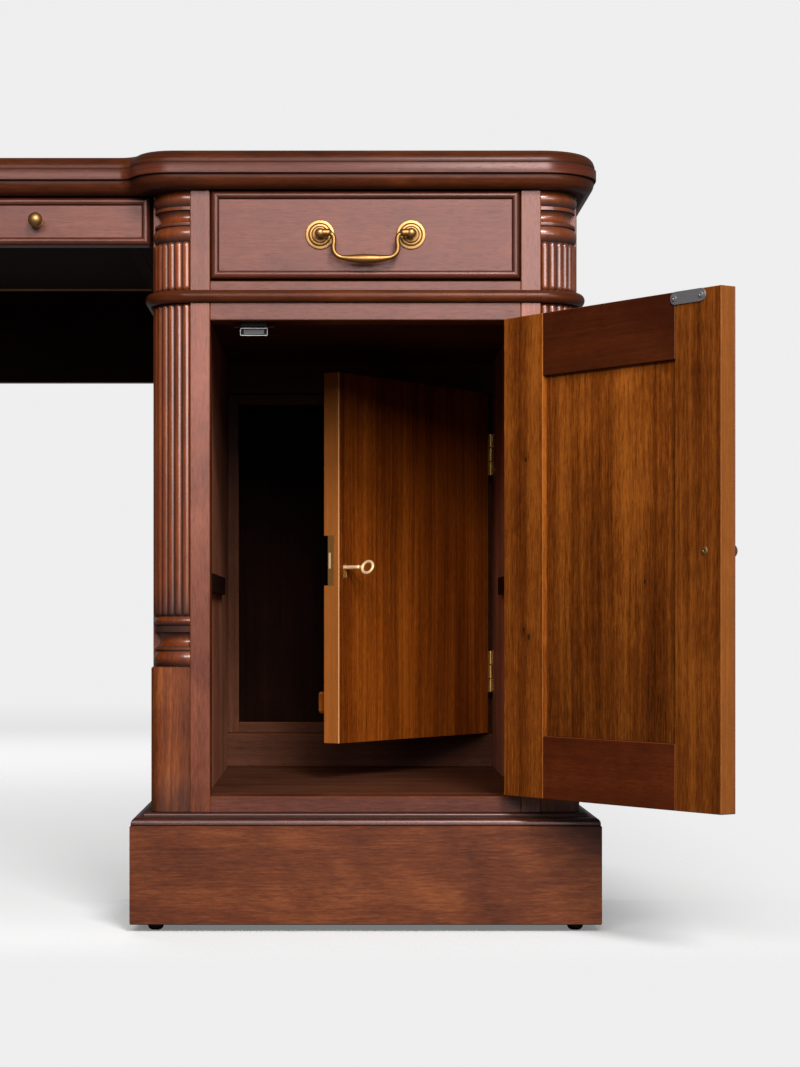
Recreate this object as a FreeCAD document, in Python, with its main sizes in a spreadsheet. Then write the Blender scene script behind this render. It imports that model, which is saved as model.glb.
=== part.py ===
"""Twin pedestal writing desk, in millimetres.

+Z is up, +X is to the sitter's right and the drawers open towards -Y. The origin is on the floor, under
the middle of the desk top. At rest the right cupboard door and the inner door behind it stand open.
Places across a pedestal are measured from its own middle, positive towards the outer end of the desk.
"""

import FreeCAD, Part
import math
import os
from types import SimpleNamespace

LENGTHS = {
    # Whole desk
    "desk_width": 1524.0,
    "desk_depth": 762.0,
    "pedestal_width": 430.0,
    "overhang": 19.5,
    "centre_setback": 39.5,
    "cut_overrun": 5.0,
    "running_gap": 0.3,
    "match_tolerance": 0.001,
    # Heights of one pedestal, from the floor up
    "glide_height": 7.5,
    "plinth_height": 98.0,
    "cap_height": 12.0,
    "bottom_rail_height": 16.0,
    "cupboard_height": 476.5,
    "lintel_height": 17.0,
    "waist_height": 13.0,
    "drawer_rail_height": 9.0,
    "drawer_opening": 91.0,
    "frame_moulding_height": 14.0,
    "top_thickness": 24.0,
    # Desk top and the frame moulding under it
    "top_band_height": 11.0,
    "top_band_step": 1.2,
    "top_round": 11.0,
    "top_inner_reach": 9.0,
    "frame_moulding_inset": 2.5,
    "frame_moulding_round": 11.0,
    "frame_moulding_width": 72.0,
    # Plinth, its cap moulding and glides
    "plinth_thickness": 22.0,
    "plinth_block": 35.0,
    "cap_inset": 1.0,
    "cap_round": 6.0,
    "cap_step_height": 4.0,
    "cap_step_reach": 6.0,
    "cap_step_round": 2.5,
    "cap_width": 60.0,
    "glide_radius": 8.0,
    "glide_inset": 24.5,
    # Waist moulding
    "waist_reach": 8.0,
    "waist_round": 6.2,
    # Face frame, side frames, linings and back
    "corner_notch": 39.5,
    "stile_width": 20.0,
    "lining_setback": 4.5,
    "side_board": 20.0,
    "side_recess": 6.0,
    "side_bottom_rail": 60.0,
    "side_top_rail": 40.0,
    "back_recess": 8.0,
    "back_thickness": 14.0,
    "floor_thickness": 12.0,
    "dust_board_lift": 10.0,
    "dust_board_thickness": 12.0,
    # Reeded quarter columns and base blocks
    "block_height": 145.5,
    "block_round": 12.0,
    "column_radius": 39.0,
    "reed_depth": 2.6,
    "ring_bead_height": 16.0,
    "ring_bead_reach": 3.4,
    "ring_fillet_height": 3.2,
    "ring_cove_height": 12.6,
    "ring_neck_radius": 36.0,
    "ring_fillet_radius": 37.6,
    "ring_cove_depth": 3.2,
    # Runners, cleats and shelf
    "runner_width": 15.0,
    "runner_length": 480.0,
    "guide_height": 20.0,
    "cleat_height": 20.0,
    "cleat_length": 310.0,
    "cleat_level": 205.0,
    "shelf_thickness": 18.0,
    "shelf_side_gap": 0.5,
    # Cupboard doors
    "door_gap": 1.2,
    "door_bottom_gap": 2.6,
    "hinge_gap": 2.4,
    "door_thickness": 18.0,
    "door_stile": 60.0,
    "door_rail": 61.0,
    "door_panel_recess": 4.0,
    "door_panel_thickness": 9.0,
    "door_knob_inset": 21.0,
    "hinge_height": 60.0,
    "hinge_end_distance": 60.0,
    "hinge_leaf": 1.1,
    "hinge_leaf_width": 16.0,
    "hinge_axis_reach": 4.0,
    "hinge_knuckle_radius": 3.2,
    "hinge_pin_radius": 1.5,
    "hinge_pin_gap": 0.05,
    "hinge_knuckle_gap": 0.3,
    "strike_length": 46.0,
    "strike_height": 12.0,
    "strike_thickness": 1.2,
    "strike_inset": 42.0,
    "strike_screw_radius": 3.0,
    "strike_screw_height": 1.0,
    "strike_screw_spacing": 35.0,
    "catch_width": 28.0,
    "catch_depth": 19.0,
    "catch_height": 13.6,
    "catch_packing": 4.2,
    "catch_ear_width": 41.0,
    "catch_ear_thickness": 1.2,
    # Ball knobs
    "knob_rose_radius": 6.5,
    "knob_rose_thickness": 2.0,
    "knob_stem_radius": 3.2,
    "knob_stem_length": 9.0,
    "knob_ball_radius": 7.4,
    "knob_screw_radius": 2.0,
    "knob_screw_gap": 0.2,
    "knob_screw_head_radius": 4.0,
    "knob_screw_head_height": 1.2,
    # Beads round drawer fronts and door panels
    "bead_width": 8.0,
    "bead_reach": 4.0,
    "bead_round": 3.6,
    # Pedestal drawers
    "drawer_side_gap": 1.2,
    "drawer_top_gap": 1.0,
    "drawer_bottom_gap": 2.5,
    "drawer_face_setback": 1.0,
    "drawer_front_thickness": 18.0,
    "drawer_board": 11.0,
    "drawer_box_gap": 1.0,
    "drawer_box_height": 75.0,
    "drawer_box_length": 420.0,
    "drawer_bottom_lift": 6.0,
    "drawer_bottom_thickness": 6.0,
    # Swan-neck bail and its backplates
    "bail_spacing": 91.0,
    "rosette_radius": 14.3,
    "rosette_thickness": 3.0,
    "post_radius": 3.2,
    "post_reach": 14.0,
    "post_ball_radius": 5.0,
    "bail_radius": 2.1,
    "bail_pin_gap": 0.1,
    "bail_neck": 15.5,
    "bail_drop": 22.5,
    "bail_bend": 7.0,
    "bail_grip_radius": 3.7,
    "bail_grip_length": 40.0,
    # Kneehole drawer, its runners and the back apron
    "centre_front_height": 48.3,
    "centre_side_gap": 4.0,
    "centre_knob_inset": 114.5,
    "centre_box_height": 30.0,
    "centre_bottom_lift": 2.0,
    "centre_runner_block": 15.5,
    "centre_runner_drop": 48.0,
    "centre_runner_height": 43.0,
    "centre_ledge_width": 13.0,
    "centre_ledge_height": 10.0,
    "centre_runner_back": 2.0,
    "apron_thickness": 20.0,
    "apron_height": 128.5,
    # Inner door and the frame that it closes against
    "inner_door_depth": 509.0,
    "inner_door_thickness": 20.0,
    "inner_lower_rail": 39.5,
    "inner_door_height": 411.0,
    "inner_door_gap": 1.0,
    "inner_door_side_gap": 2.0,
    "inner_hinge_gap": 3.5,
    "inner_stop_gap": 0.5,
    "inner_stop_width": 13.0,
    "inner_stop_thickness": 12.0,
    "inner_hinge_height": 50.0,
    "inner_hinge_end_distance": 49.0,
    "inner_hinge_leaf_width": 15.0,
    "inner_hinge_axis_reach": 3.0,
    "inner_hinge_axis_offset": 0.7,
    "inner_knuckle_radius": 2.4,
    "inner_pin_radius": 1.1,
    "inner_block_inset": 15.0,
    "inner_block_width": 12.0,
    "inner_block_reach": 20.0,
    "inner_block_height": 24.0,
    "inner_block_level": 32.0,
    # Lock, keyhole liner, bolt and key of the inner door
    "lock_level": 174.0,
    "lock_plate_height": 55.0,
    "lock_plate_thickness": 1.5,
    "lock_case_height": 51.0,
    "lock_case_width": 24.0,
    "lock_case_depth": 8.0,
    "lock_cover": 7.0,
    "lock_wall": 1.0,
    "key_backset": 12.0,
    "key_level": 20.0,
    "keyhole_radius": 2.8,
    "keyhole_slot_width": 3.2,
    "keyhole_slot_length": 10.5,
    "liner_wall": 1.2,
    "liner_reach": 0.4,
    "bolt_height": 17.5,
    "bolt_thickness": 2.6,
    "bolt_length": 15.0,
    "bolt_level": 27.5,
    "bolt_throw": 8.0,
    "bolt_gap": 0.2,
    "bolt_mortise_depth": 8.0,
    "bolt_mortise_gap": 1.5,
    "key_shank_radius": 1.8,
    "key_reach": 23.0,
    "key_bow_radius": 6.8,
    "key_bow_wire": 1.4,
    "key_collar_radius": 3.0,
    "key_collar_length": 2.0,
    "key_collar_reach": 7.0,
    "key_bit_width": 2.4,
    "key_bit_thickness": 2.0,
    "key_bit_length": 8.5,
}
RIGHT_DOOR_DEGREES = 125
INNER_DOOR_DEGREES = 55
REEDS = 7
KNUCKLES = 3
RIGHT, LEFT = 1, -1
FRONT, REAR = -1, 1
UP = FreeCAD.Vector(0, 0, 1)


class Size:
    """A length worked out from the sheet: its expression, and its value in millimetres."""

    def __init__(self, text, value):
        self.text = text
        self.value = value

    def __add__(self, other):
        other = as_size(other)
        return Size(f"({self.text} + {other.text})", self.value + other.value)

    __radd__ = __add__

    def __sub__(self, other):
        other = as_size(other)
        return Size(f"({self.text} - {other.text})", self.value - other.value)

    def __rsub__(self, other):
        return as_size(other) - self

    def __mul__(self, factor):
        return Size(f"({self.text} * {factor})", self.value * factor)

    __rmul__ = __mul__

    def __truediv__(self, divisor):
        return Size(f"({self.text} / {divisor})", self.value / divisor)

    def __neg__(self):
        return self * -1

    def __float__(self):
        return float(self.value)


def as_size(length):
    return length if isinstance(length, Size) else Size(str(length), length)


ZERO = as_size(0)
doc = FreeCAD.newDocument("PedestalDesk")


def make_sheet():
    """Write every driving dimension to its own cell, and give each one as a Size."""
    sheet = doc.addObject("Spreadsheet::Sheet", "Sizes")
    for row, (name, value) in enumerate(LENGTHS.items(), start=1):
        sheet.set(f"A{row}", name)
        sheet.set(f"B{row}", str(value))
        sheet.setAlias(f"B{row}", name)
    doc.recompute()
    return SimpleNamespace(**{name: Size(f"Sizes.{name}", sheet.get(name)) for name in LENGTHS})


S = make_sheet()

# Places across and along a pedestal
half_pedestal = S.pedestal_width / 2
pedestal_x = S.desk_width / 2 - S.overhang - half_pedestal
half_depth = S.desk_depth / 2 - S.overhang
front = -half_depth
lining_outer = half_pedestal - S.corner_notch
opening_half = lining_outer - S.stile_width
lining_inner = opening_half + S.lining_setback
kneehole_half = pedestal_x - half_pedestal
frame_front = front + S.corner_notch
frame_rear = half_depth - S.corner_notch
column_centre_y = half_depth - S.corner_notch

# Levels
cap_z = S.glide_height + S.plinth_height
base_z = cap_z + S.cap_height
floor_z = base_z + S.bottom_rail_height
lintel_z = floor_z + S.cupboard_height
waist_z = lintel_z + S.lintel_height
waist_top_z = waist_z + S.waist_height
drawer_z = waist_top_z + S.drawer_rail_height
carcass_z = drawer_z + S.drawer_opening
board_z = carcass_z + S.frame_moulding_height
top_z = board_z + S.top_thickness
block_z = base_z + S.block_height
dust_z = lintel_z + S.dust_board_lift
dust_top_z = dust_z + S.dust_board_thickness
cleat_z = floor_z + S.cleat_level
shelf_z = cleat_z + S.cleat_height
inner_y = front + S.inner_door_depth
inner_z = floor_z + S.inner_lower_rail
inner_top_z = inner_z + S.inner_door_height


# Helpers that make document objects bound to the sheet


def bind(piece, **sizes):
    for name, size in sizes.items():
        piece.setExpression(name, as_size(size).text)
    return piece


def place(piece, x, y, z, turn=None):
    """Put a piece at a bound place, after an optional turn given as a Rotation."""
    if turn:
        piece.Placement = FreeCAD.Placement(FreeCAD.Vector(), turn)
    for axis, size in zip("xyz", (x, y, z)):
        piece.setExpression(f"Placement.Base.{axis}", as_size(size).text)
    return piece


def box(name, x, y, z):
    """A board between two places on each axis."""
    piece = doc.addObject("Part::Box", name)
    bind(piece, Length=x[1] - x[0], Width=y[1] - y[0], Height=z[1] - z[0])
    return place(piece, x[0], y[0], z[0])


ALONG_X = FreeCAD.Rotation(FreeCAD.Vector(0, 1, 0), 90)
ALONG_Y = FreeCAD.Rotation(FreeCAD.Vector(1, 0, 0), -90)


def rod(name, radius, length, x, y, z, turn=None):
    """A round bar from a point, upwards or along the turned axis."""
    piece = doc.addObject("Part::Cylinder", name)
    bind(piece, Radius=radius, Height=length)
    return place(piece, x, y, z, turn)


def ball(name, radius, x, y, z):
    piece = bind(doc.addObject("Part::Sphere", name), Radius=radius)
    return place(piece, x, y, z)


def fuse(name, *pieces):
    joined = doc.addObject("Part::MultiFuse", name)
    joined.Shapes = list(pieces)
    joined.Refine = True
    return joined


def cut(name, base, *tools):
    piece = doc.addObject("Part::Cut", name)
    piece.Base = base
    piece.Tool = tools[0] if len(tools) == 1 else fuse(f"{name}_tools", *tools)
    return piece


def round_edges(base, radius, chosen):
    """Round the edges of a piece whose bounding boxes pass the test."""
    doc.recompute()
    piece = doc.addObject("Part::Fillet", f"{base.Name}_rounded")
    piece.Base = base
    picked = [n for n, edge in enumerate(base.Shape.Edges, start=1) if chosen(edge.BoundBox)]
    piece.Edges = [(n, float(radius), float(radius)) for n in picked]
    return piece


def near(value, size):
    return abs(value - float(size)) < float(S.match_tolerance)


def upright(bounds):
    return bounds.ZLength > bounds.XLength + bounds.YLength


def upright_at(x, y):
    return lambda bounds: upright(bounds) and near(bounds.XMin, x) and near(bounds.YMin, y)


def level_at(height):
    return lambda bounds: near(bounds.ZMin, height) and near(bounds.ZMax, height)


def solid(name, shape, placement=None):
    """A piece whose shape is worked out here from the sheet's values."""
    piece = doc.addObject("Part::Feature", name)
    piece.Shape = shape
    if placement:
        piece.Placement = placement
    return piece


def across(side, low, high):
    """A stretch across one pedestal as places along X, low end first."""
    low, high = pedestal_x + low, pedestal_x + high
    return (low, high) if side == RIGHT else (-high, -low)


def from_front(low, high, end=FRONT):
    """A stretch measured inwards from the front or the rear plane of the carcass."""
    return (front + low, front + high) if end == FRONT else (half_depth - high, half_depth - low)


def both_ways(low, high):
    return [(low, high), (-high, -low)]


nodes = {}


def node(name, pieces, placement=None):
    """Gather the solids of one named node, turned to its place at rest where it stands open."""
    if len(pieces) == 1 and placement is None:
        nodes[name] = pieces[0]
    else:
        group = doc.addObject("Part::Compound", name)
        group.Links = list(pieces)
        if placement:
            group.Placement = placement
        nodes[name] = group
    nodes[name].Label = name


def turned_about(x, y, degrees):
    """A turn about an upright axis."""
    turn = FreeCAD.Rotation(UP, degrees)
    return FreeCAD.Placement(FreeCAD.Vector(), turn, FreeCAD.Vector(float(x), float(y), 0))


# Desk top


def outline_boxes(inset, z):
    """The desk's outline, drawn in by an inset: a box over each pedestal and the set-back centre box."""
    half_y = S.desk_depth / 2 - inset
    inner_end = inset - half_pedestal - S.overhang - S.top_inner_reach
    outer_end = half_pedestal + S.overhang - inset
    pedestals = [
        box("pedestal_slab", across(side, inner_end, outer_end), (-half_y, half_y), z)
        for side in (RIGHT, LEFT)
    ]
    centre_y = half_y - S.centre_setback
    return pedestals, box("centre_slab", (-pedestal_x, pedestal_x), (-centre_y, centre_y), z)


def top_slabs(inset, z, rim_radius=None, rim_level=None):
    """The outline as slabs, with corners over the pedestals that share the columns' centres.

    Each slab has its own rim rounded, so the rims meet in a mitred valley where the slabs join."""
    pedestals, centre = outline_boxes(inset, z)
    corner = S.corner_notch + S.overhang - inset
    pedestals = [round_edges(slab, corner, upright) for slab in pedestals]
    if rim_radius:
        on_rim = level_at(rim_level)
        pedestals = [round_edges(slab, rim_radius, on_rim) for slab in pedestals]
        centre = round_edges(centre, rim_radius, lambda b: on_rim(b) and b.XLength > b.YLength)
    return pedestals + [centre]


def desk_top():
    band_z = board_z + S.top_band_height
    band = top_slabs(ZERO, (board_z, band_z))
    crown = top_slabs(S.top_band_step, (band_z, top_z), S.top_round, top_z)
    node("desk_top", [fuse("top_board", *band, *crown)])


def frame_moulding():
    """The moulded frame that carries the board, rounded in towards the carcass below."""
    outside = fuse(
        "moulding_outside",
        *top_slabs(S.frame_moulding_inset, (carcass_z, board_z), S.frame_moulding_round, carcass_z),
    )
    hollow_z = (carcass_z - S.cut_overrun, board_z + S.cut_overrun)
    pedestals, centre = outline_boxes(S.frame_moulding_width, hollow_z)
    node("top_frame_moulding", [cut("frame_moulding", outside, *pedestals, centre)])


# Plinths


def mitred_board(name, length, thickness, height, x, y, z, degrees):
    """A board with mitred ends, whose outer face is turned away from the desk."""
    board = doc.addObject("Part::Wedge", name)
    bind(board, Xmin=-length / 2, Xmax=length / 2, Ymin=0, Ymax=thickness, Zmin=0, Zmax=height)
    bind(board, X2min=thickness - length / 2, X2max=length / 2 - thickness, Z2min=0, Z2max=height)
    return place(board, x, y, z, FreeCAD.Rotation(UP, degrees))


def plinth(side):
    half_x, half_y = half_pedestal + S.overhang, half_depth + S.overhang
    x = pedestal_x * side
    faces = [(2 * half_x, x, -half_y, 0), (2 * half_y, x + half_x, ZERO, 90)]
    faces += [(2 * half_x, x, half_y, 180), (2 * half_y, x - half_x, ZERO, 270)]
    pieces = [
        mitred_board("plinth_board", length, S.plinth_thickness, S.plinth_height, at_x, at_y,
                     S.glide_height, degrees)
        for length, at_x, at_y, degrees in faces
    ]
    reach = S.plinth_thickness + S.plinth_block
    for low, high in both_ways(half_x - reach, half_x - S.plinth_thickness):
        for y in both_ways(half_y - reach, half_y - S.plinth_thickness):
            pieces.append(box("corner_block", across(side, low, high), y, (S.glide_height, cap_z)))
    return pieces


def glides():
    half_x = half_pedestal + S.overhang - S.glide_inset
    half_y = half_depth + S.overhang - S.glide_inset
    return [
        rod("glide", S.glide_radius, S.glide_height, pedestal_x * side + half_x * x, half_y * y, ZERO)
        for side in (RIGHT, LEFT) for x in (1, -1) for y in (1, -1)
    ]


def plinth_cap(side):
    """A quarter-round ledge with a small step up to the carcass."""
    ledge_x = half_pedestal + S.overhang - S.cap_inset
    ledge_y = half_depth + S.overhang - S.cap_inset
    step_z = base_z - S.cap_step_height
    step_x, step_y = half_pedestal + S.cap_step_reach, half_depth + S.cap_step_reach
    ledge = box("cap_ledge", across(side, -ledge_x, ledge_x), (-ledge_y, ledge_y), (cap_z, step_z))
    step = box("cap_step", across(side, -step_x, step_x), (-step_y, step_y), (step_z, base_z))
    inner_x, inner_y = half_pedestal - S.cap_width, half_depth - S.cap_width
    hollow = box("cap_hollow", across(side, -inner_x, inner_x), (-inner_y, inner_y),
                 (cap_z - S.cut_overrun, base_z + S.cut_overrun))
    whole = fuse(
        "cap_whole",
        round_edges(ledge, S.cap_round, level_at(step_z)),
        round_edges(step, S.cap_step_round, level_at(base_z)),
    )
    return cut("plinth_cap", whole, hollow)


# Carcass


def waist_moulding(side):
    """A half-round bead round the whole pedestal, solid over the columns."""
    reach_x, reach_y = half_pedestal + S.waist_reach, half_depth + S.waist_reach
    bar = box("waist_bar", across(side, -reach_x, reach_x), (-reach_y, reach_y), (waist_z, waist_top_z))
    bead = round_edges(bar, S.corner_notch + S.waist_reach, upright)
    bead = round_edges(bead, S.waist_round, lambda bounds: bounds.ZLength < S.waist_round.value)
    hollow_z = (waist_z - S.cut_overrun, waist_top_z + S.cut_overrun)
    deep = box("waist_deep", across(side, -lining_outer, lining_outer), (front, half_depth), hollow_z)
    wide = box("waist_wide", across(side, -half_pedestal, half_pedestal), (frame_front, frame_rear),
               hollow_z)
    return cut("waist_moulding", bead, deep, wide)


def face_stiles(side):
    return [
        box("face_stile", across(side, *u), from_front(ZERO, S.corner_notch, end), (base_z, carcass_z))
        for end in (FRONT, REAR) for u in both_ways(opening_half, lining_outer)
    ]


def face_rails(side):
    heights = {
        FRONT: [(base_z, floor_z), (lintel_z, drawer_z)],
        REAR: [(base_z, base_z + S.side_bottom_rail), (lintel_z, drawer_z),
               (carcass_z - S.side_top_rail, carcass_z)],
    }
    u = across(side, -opening_half, opening_half)
    return [
        box("face_rail", u, from_front(ZERO, S.corner_notch, end), z)
        for end in (FRONT, REAR) for z in heights[end]
    ]


def side_stiles(side):
    y = (S.corner_notch, S.corner_notch + S.stile_width)
    return [
        box("side_stile", across(side, *u), from_front(*y, end), (base_z, carcass_z))
        for u in both_ways(lining_outer, half_pedestal) for end in (FRONT, REAR)
    ]


side_span = (frame_front + S.stile_width, frame_rear - S.stile_width)
panel_levels = [
    (base_z + S.side_bottom_rail, lintel_z),
    (drawer_z, carcass_z - S.side_top_rail),
]


def side_rails(side):
    levels = [(base_z, panel_levels[0][0]), (lintel_z, drawer_z), (panel_levels[1][1], carcass_z)]
    return [
        box("side_rail", across(side, *u), side_span, z)
        for u in both_ways(half_pedestal - S.side_board, half_pedestal) for z in levels
    ]


def side_panels(side):
    return [
        box("side_panel", across(side, *u), side_span, z)
        for u in both_ways(half_pedestal - S.side_board, half_pedestal - S.side_recess)
        for z in panel_levels
    ]


def back_panels(side):
    y = from_front(S.back_recess, S.back_recess + S.back_thickness, REAR)
    return [box("back_panel", across(side, -opening_half, opening_half), y, z) for z in panel_levels]


def linings(side):
    """The inner walls. The one that the bolt locks into has a mortise."""
    outer, inner = [
        box("lining", across(side, *u), (frame_front, frame_rear), (base_z, carcass_z))
        for u in both_ways(lining_inner, lining_outer)
    ]
    if side == RIGHT:
        mortise = box(
            "bolt_mortise",
            across(side, -lining_inner - S.bolt_mortise_depth, S.cut_overrun - lining_inner),
            (bolt_y[0] - S.bolt_mortise_gap, bolt_y[1] + S.bolt_mortise_gap),
            (bolt_z[0] - S.bolt_mortise_gap, bolt_z[1] + S.bolt_mortise_gap),
        )
        inner = cut("mortised_lining", inner, mortise)
    return [outer, inner]


def inside_board(name, side, z):
    return box(name, across(side, -lining_inner, lining_inner), (frame_front, frame_rear), z)


def drawer_runners(side):
    y = (frame_front, frame_front + S.runner_length)
    pieces = []
    for u in both_ways(lining_inner - S.runner_width, lining_inner):
        pieces.append(box("runner", across(side, *u), y, (dust_top_z, drawer_z)))
    for u in both_ways(opening_half, lining_inner):
        pieces.append(box("guide", across(side, *u), y, (drawer_z, drawer_z + S.guide_height)))
    return pieces


def shelf_cleats(side):
    y = (frame_front, frame_front + S.cleat_length)
    return [
        box("shelf_cleat", across(side, *u), y, (cleat_z, shelf_z))
        for u in both_ways(opening_half, lining_inner)
    ]


def left_shelf():
    half = lining_inner - S.shelf_side_gap
    y = (frame_front, frame_front + S.cleat_length)
    return box("shelf", across(LEFT, -half, half), y, (shelf_z, shelf_z + S.shelf_thickness))


# Columns and base blocks


def reeded_section():
    """A quarter disc whose rim is a row of equal convex reeds."""
    groove_radius = float(S.column_radius - S.reed_depth)

    def rim(share, radius):
        angle = math.pi / 2 * share
        return FreeCAD.Vector(radius * math.cos(angle), radius * math.sin(angle), 0)

    centre = FreeCAD.Vector()
    edges = [Part.LineSegment(centre, rim(0, groove_radius)).toShape()]
    for reed in range(REEDS):
        start, middle, end = reed / REEDS, (reed + 1 / 2) / REEDS, (reed + 1) / REEDS
        arc = Part.Arc(rim(start, groove_radius), rim(middle, float(S.column_radius)),
                       rim(end, groove_radius))
        edges.append(arc.toShape())
    edges.append(Part.LineSegment(rim(1, groove_radius), centre).toShape())
    return Part.Face(Part.Wire(edges))


ring_stack = 2 * S.ring_bead_height + 2 * S.ring_fillet_height + S.ring_cove_height


def ring_profile():
    """Half section of the turned rings: bead, fillet, cove, fillet, bead."""
    neck = float(S.ring_neck_radius)
    fillet = float(S.ring_fillet_radius)
    bead = neck + float(S.ring_bead_reach)
    cove = neck - float(S.ring_cove_depth)

    def at(radius, height):
        return FreeCAD.Vector(radius, 0, float(height))

    levels = [ZERO]
    for part in (S.ring_bead_height, S.ring_fillet_height, S.ring_cove_height,
                 S.ring_fillet_height, S.ring_bead_height):
        levels.append(levels[-1] + part)
    bottom, bead_top, cove_bottom, cove_top, bead_bottom, top = levels

    def line(*points):
        return [Part.LineSegment(a, b).toShape() for a, b in zip(points, points[1:])]

    def bulge(low, high, middle):
        return [Part.Arc(at(neck, low), at(middle, (low + high) / 2), at(neck, high)).toShape()]

    edges = line(at(0, bottom), at(neck, bottom)) + bulge(bottom, bead_top, bead)
    edges += line(at(neck, bead_top), at(fillet, bead_top), at(fillet, cove_bottom), at(neck, cove_bottom))
    edges += bulge(cove_bottom, cove_top, cove)
    edges += line(at(neck, cove_top), at(fillet, cove_top), at(fillet, bead_bottom), at(neck, bead_bottom))
    edges += bulge(bead_bottom, top, bead) + line(at(neck, top), at(0, top), at(0, bottom))
    return Part.Face(Part.Wire(edges))


def corner_columns(side):
    """At each corner, a reeded shaft on turned rings, and a short shaft under turned rings."""
    rings = ring_profile().revolve(FreeCAD.Vector(), UP, 90)
    ring_height = float(ring_stack)
    section = reeded_section()
    long_shaft = section.extrude(UP * float(waist_z - block_z - ring_stack))
    long_shaft.translate(UP * ring_height)
    short_height = float(carcass_z - waist_top_z - ring_stack)
    short_shaft = section.extrude(UP * short_height)
    capital = rings.copy()
    capital.translate(UP * short_height)
    lower = rings.fuse(long_shaft)
    upper = short_shaft.fuse(capital)
    pieces = []
    corners = [(1, 1, 0), (-1, 1, 90), (-1, -1, 180), (1, -1, 270)]
    for sign_x, sign_y, degrees in corners:
        x = float(pedestal_x * side + lining_outer * sign_x)
        y = float(column_centre_y) * sign_y
        for name, shape, z in (("column", lower, block_z), ("upper_column", upper, waist_top_z)):
            turn = FreeCAD.Rotation(UP, degrees)
            pieces.append(solid(name, shape, FreeCAD.Placement(FreeCAD.Vector(x, y, float(z)), turn)))
    return pieces


def base_blocks(side):
    pieces = []
    for sign, u in zip((1, -1), both_ways(lining_outer, half_pedestal)):
        for end in (FRONT, REAR):
            x, y = across(side, *u), from_front(ZERO, S.corner_notch, end)
            outer_x = x[1] if sign * side > 0 else x[0]
            outer_y = y[0] if end == FRONT else y[1]
            block = box("base_block", x, y, (base_z, block_z))
            pieces.append(round_edges(block, S.block_round, upright_at(outer_x, outer_y)))
    return pieces


# Fittings


def hinge_axis(side):
    """X and Y of a cupboard door's hinge pin, just proud of the face."""
    u = opening_half - S.hinge_leaf
    return (pedestal_x + u) * side, front - S.hinge_axis_reach


def hinge_leaf(name, leaf_x, leaf_y, tab_y, axis, low, height, radius, pin_radius, own):
    """One leaf of a butt hinge: its plate, and the knuckles numbered in own with their tabs."""
    knuckle = height / KNUCKLES
    parts = [box(f"{name}_plate", leaf_x, leaf_y, (low, low + height))]
    bores = []
    for number in own:
        start = low + knuckle * number + S.hinge_knuckle_gap / 2
        length = knuckle - S.hinge_knuckle_gap
        parts.append(box(f"{name}_tab", leaf_x, tab_y, (start, start + length)))
        parts.append(rod(f"{name}_knuckle", radius, length, *axis, start))
    bores.append(rod(f"{name}_bore", pin_radius + S.hinge_pin_gap, height, *axis, low))
    return cut(name, fuse(f"{name}_whole", *parts), *bores)


OUTER_KNUCKLES = (0, 2)
MIDDLE_KNUCKLE = (1,)


def door_hinge_levels():
    low = floor_z + S.door_bottom_gap + S.hinge_end_distance
    high = lintel_z - S.door_gap - S.hinge_end_distance - S.hinge_height
    return low, high


def door_hinges(side):
    """The frame leaves with their pins, and the door leaves, of both hinges of a cupboard door."""
    axis = hinge_axis(side)
    frame_x = across(side, opening_half - S.hinge_leaf, opening_half)
    door_edge = opening_half - S.hinge_gap
    door_x = across(side, door_edge, door_edge + S.hinge_leaf)
    leaf_y, tab_y = (front, front + S.hinge_leaf_width), (axis[1], front)
    shared = (S.hinge_height, S.hinge_knuckle_radius, S.hinge_pin_radius)
    frame, door = [], []
    for low in door_hinge_levels():
        height, radius, pin = shared
        frame.append(hinge_leaf("frame_leaf", frame_x, leaf_y, tab_y, axis, low, height, radius, pin,
                                OUTER_KNUCKLES))
        frame.append(rod("hinge_pin", pin, height, *axis, low))
        door.append(hinge_leaf("door_leaf", door_x, leaf_y, tab_y, axis, low, height, radius, pin,
                               MIDDLE_KNUCKLE))
    return frame, door


def magnetic_catch(side):
    """A magnet in its case under the lintel, with a packing piece above its two ears."""
    middle = S.strike_inset - (opening_half - S.door_gap)
    face = front + S.door_thickness + S.strike_thickness + S.running_gap
    y = (face, face + S.catch_depth)
    case_u = across(side, middle - S.catch_width / 2, middle + S.catch_width / 2)
    ear_u = across(side, middle - S.catch_ear_width / 2, middle + S.catch_ear_width / 2)
    case = box("catch_case", case_u, y, (lintel_z - S.catch_height, lintel_z))
    ear_top = lintel_z - S.catch_packing
    ear_y = (face + S.strike_screw_height + S.running_gap, y[1])
    ears = box("catch_ears", ear_u, ear_y, (ear_top - S.catch_ear_thickness, ear_top))
    return fuse("magnetic_catch", case, ears)


def ball_knob(x, face, z):
    """A turned knob that stands out from a face towards the sitter."""
    stem_end = face - S.knob_stem_length
    rose = rod("knob_rose", S.knob_rose_radius, S.knob_rose_thickness, x, face - S.knob_rose_thickness, z,
               ALONG_Y)
    stem = rod("knob_stem", S.knob_stem_radius, S.knob_stem_length, x, stem_end, z, ALONG_Y)
    head = ball("knob_ball", S.knob_ball_radius, x, stem_end - S.knob_ball_radius / 2, z)
    return fuse("ball_knob", rose, stem, head)


def bead_frame(x, z, face):
    """A half-round bead mitred round a rectangle, on a face that looks towards the sitter."""
    bar = box("bead_bar", x, (face - S.bead_reach, face), z)
    hole = box("bead_hole", (x[0] + S.bead_width, x[1] - S.bead_width),
               (face - S.bead_reach - S.cut_overrun, face + S.cut_overrun),
               (z[0] + S.bead_width, z[1] - S.bead_width))
    crest = face - S.bead_reach
    return round_edges(cut("bead_ring", bar, hole), S.bead_round,
                       lambda bounds: near(bounds.YMin, crest) and near(bounds.YMax, crest))


# Cupboard doors


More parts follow.
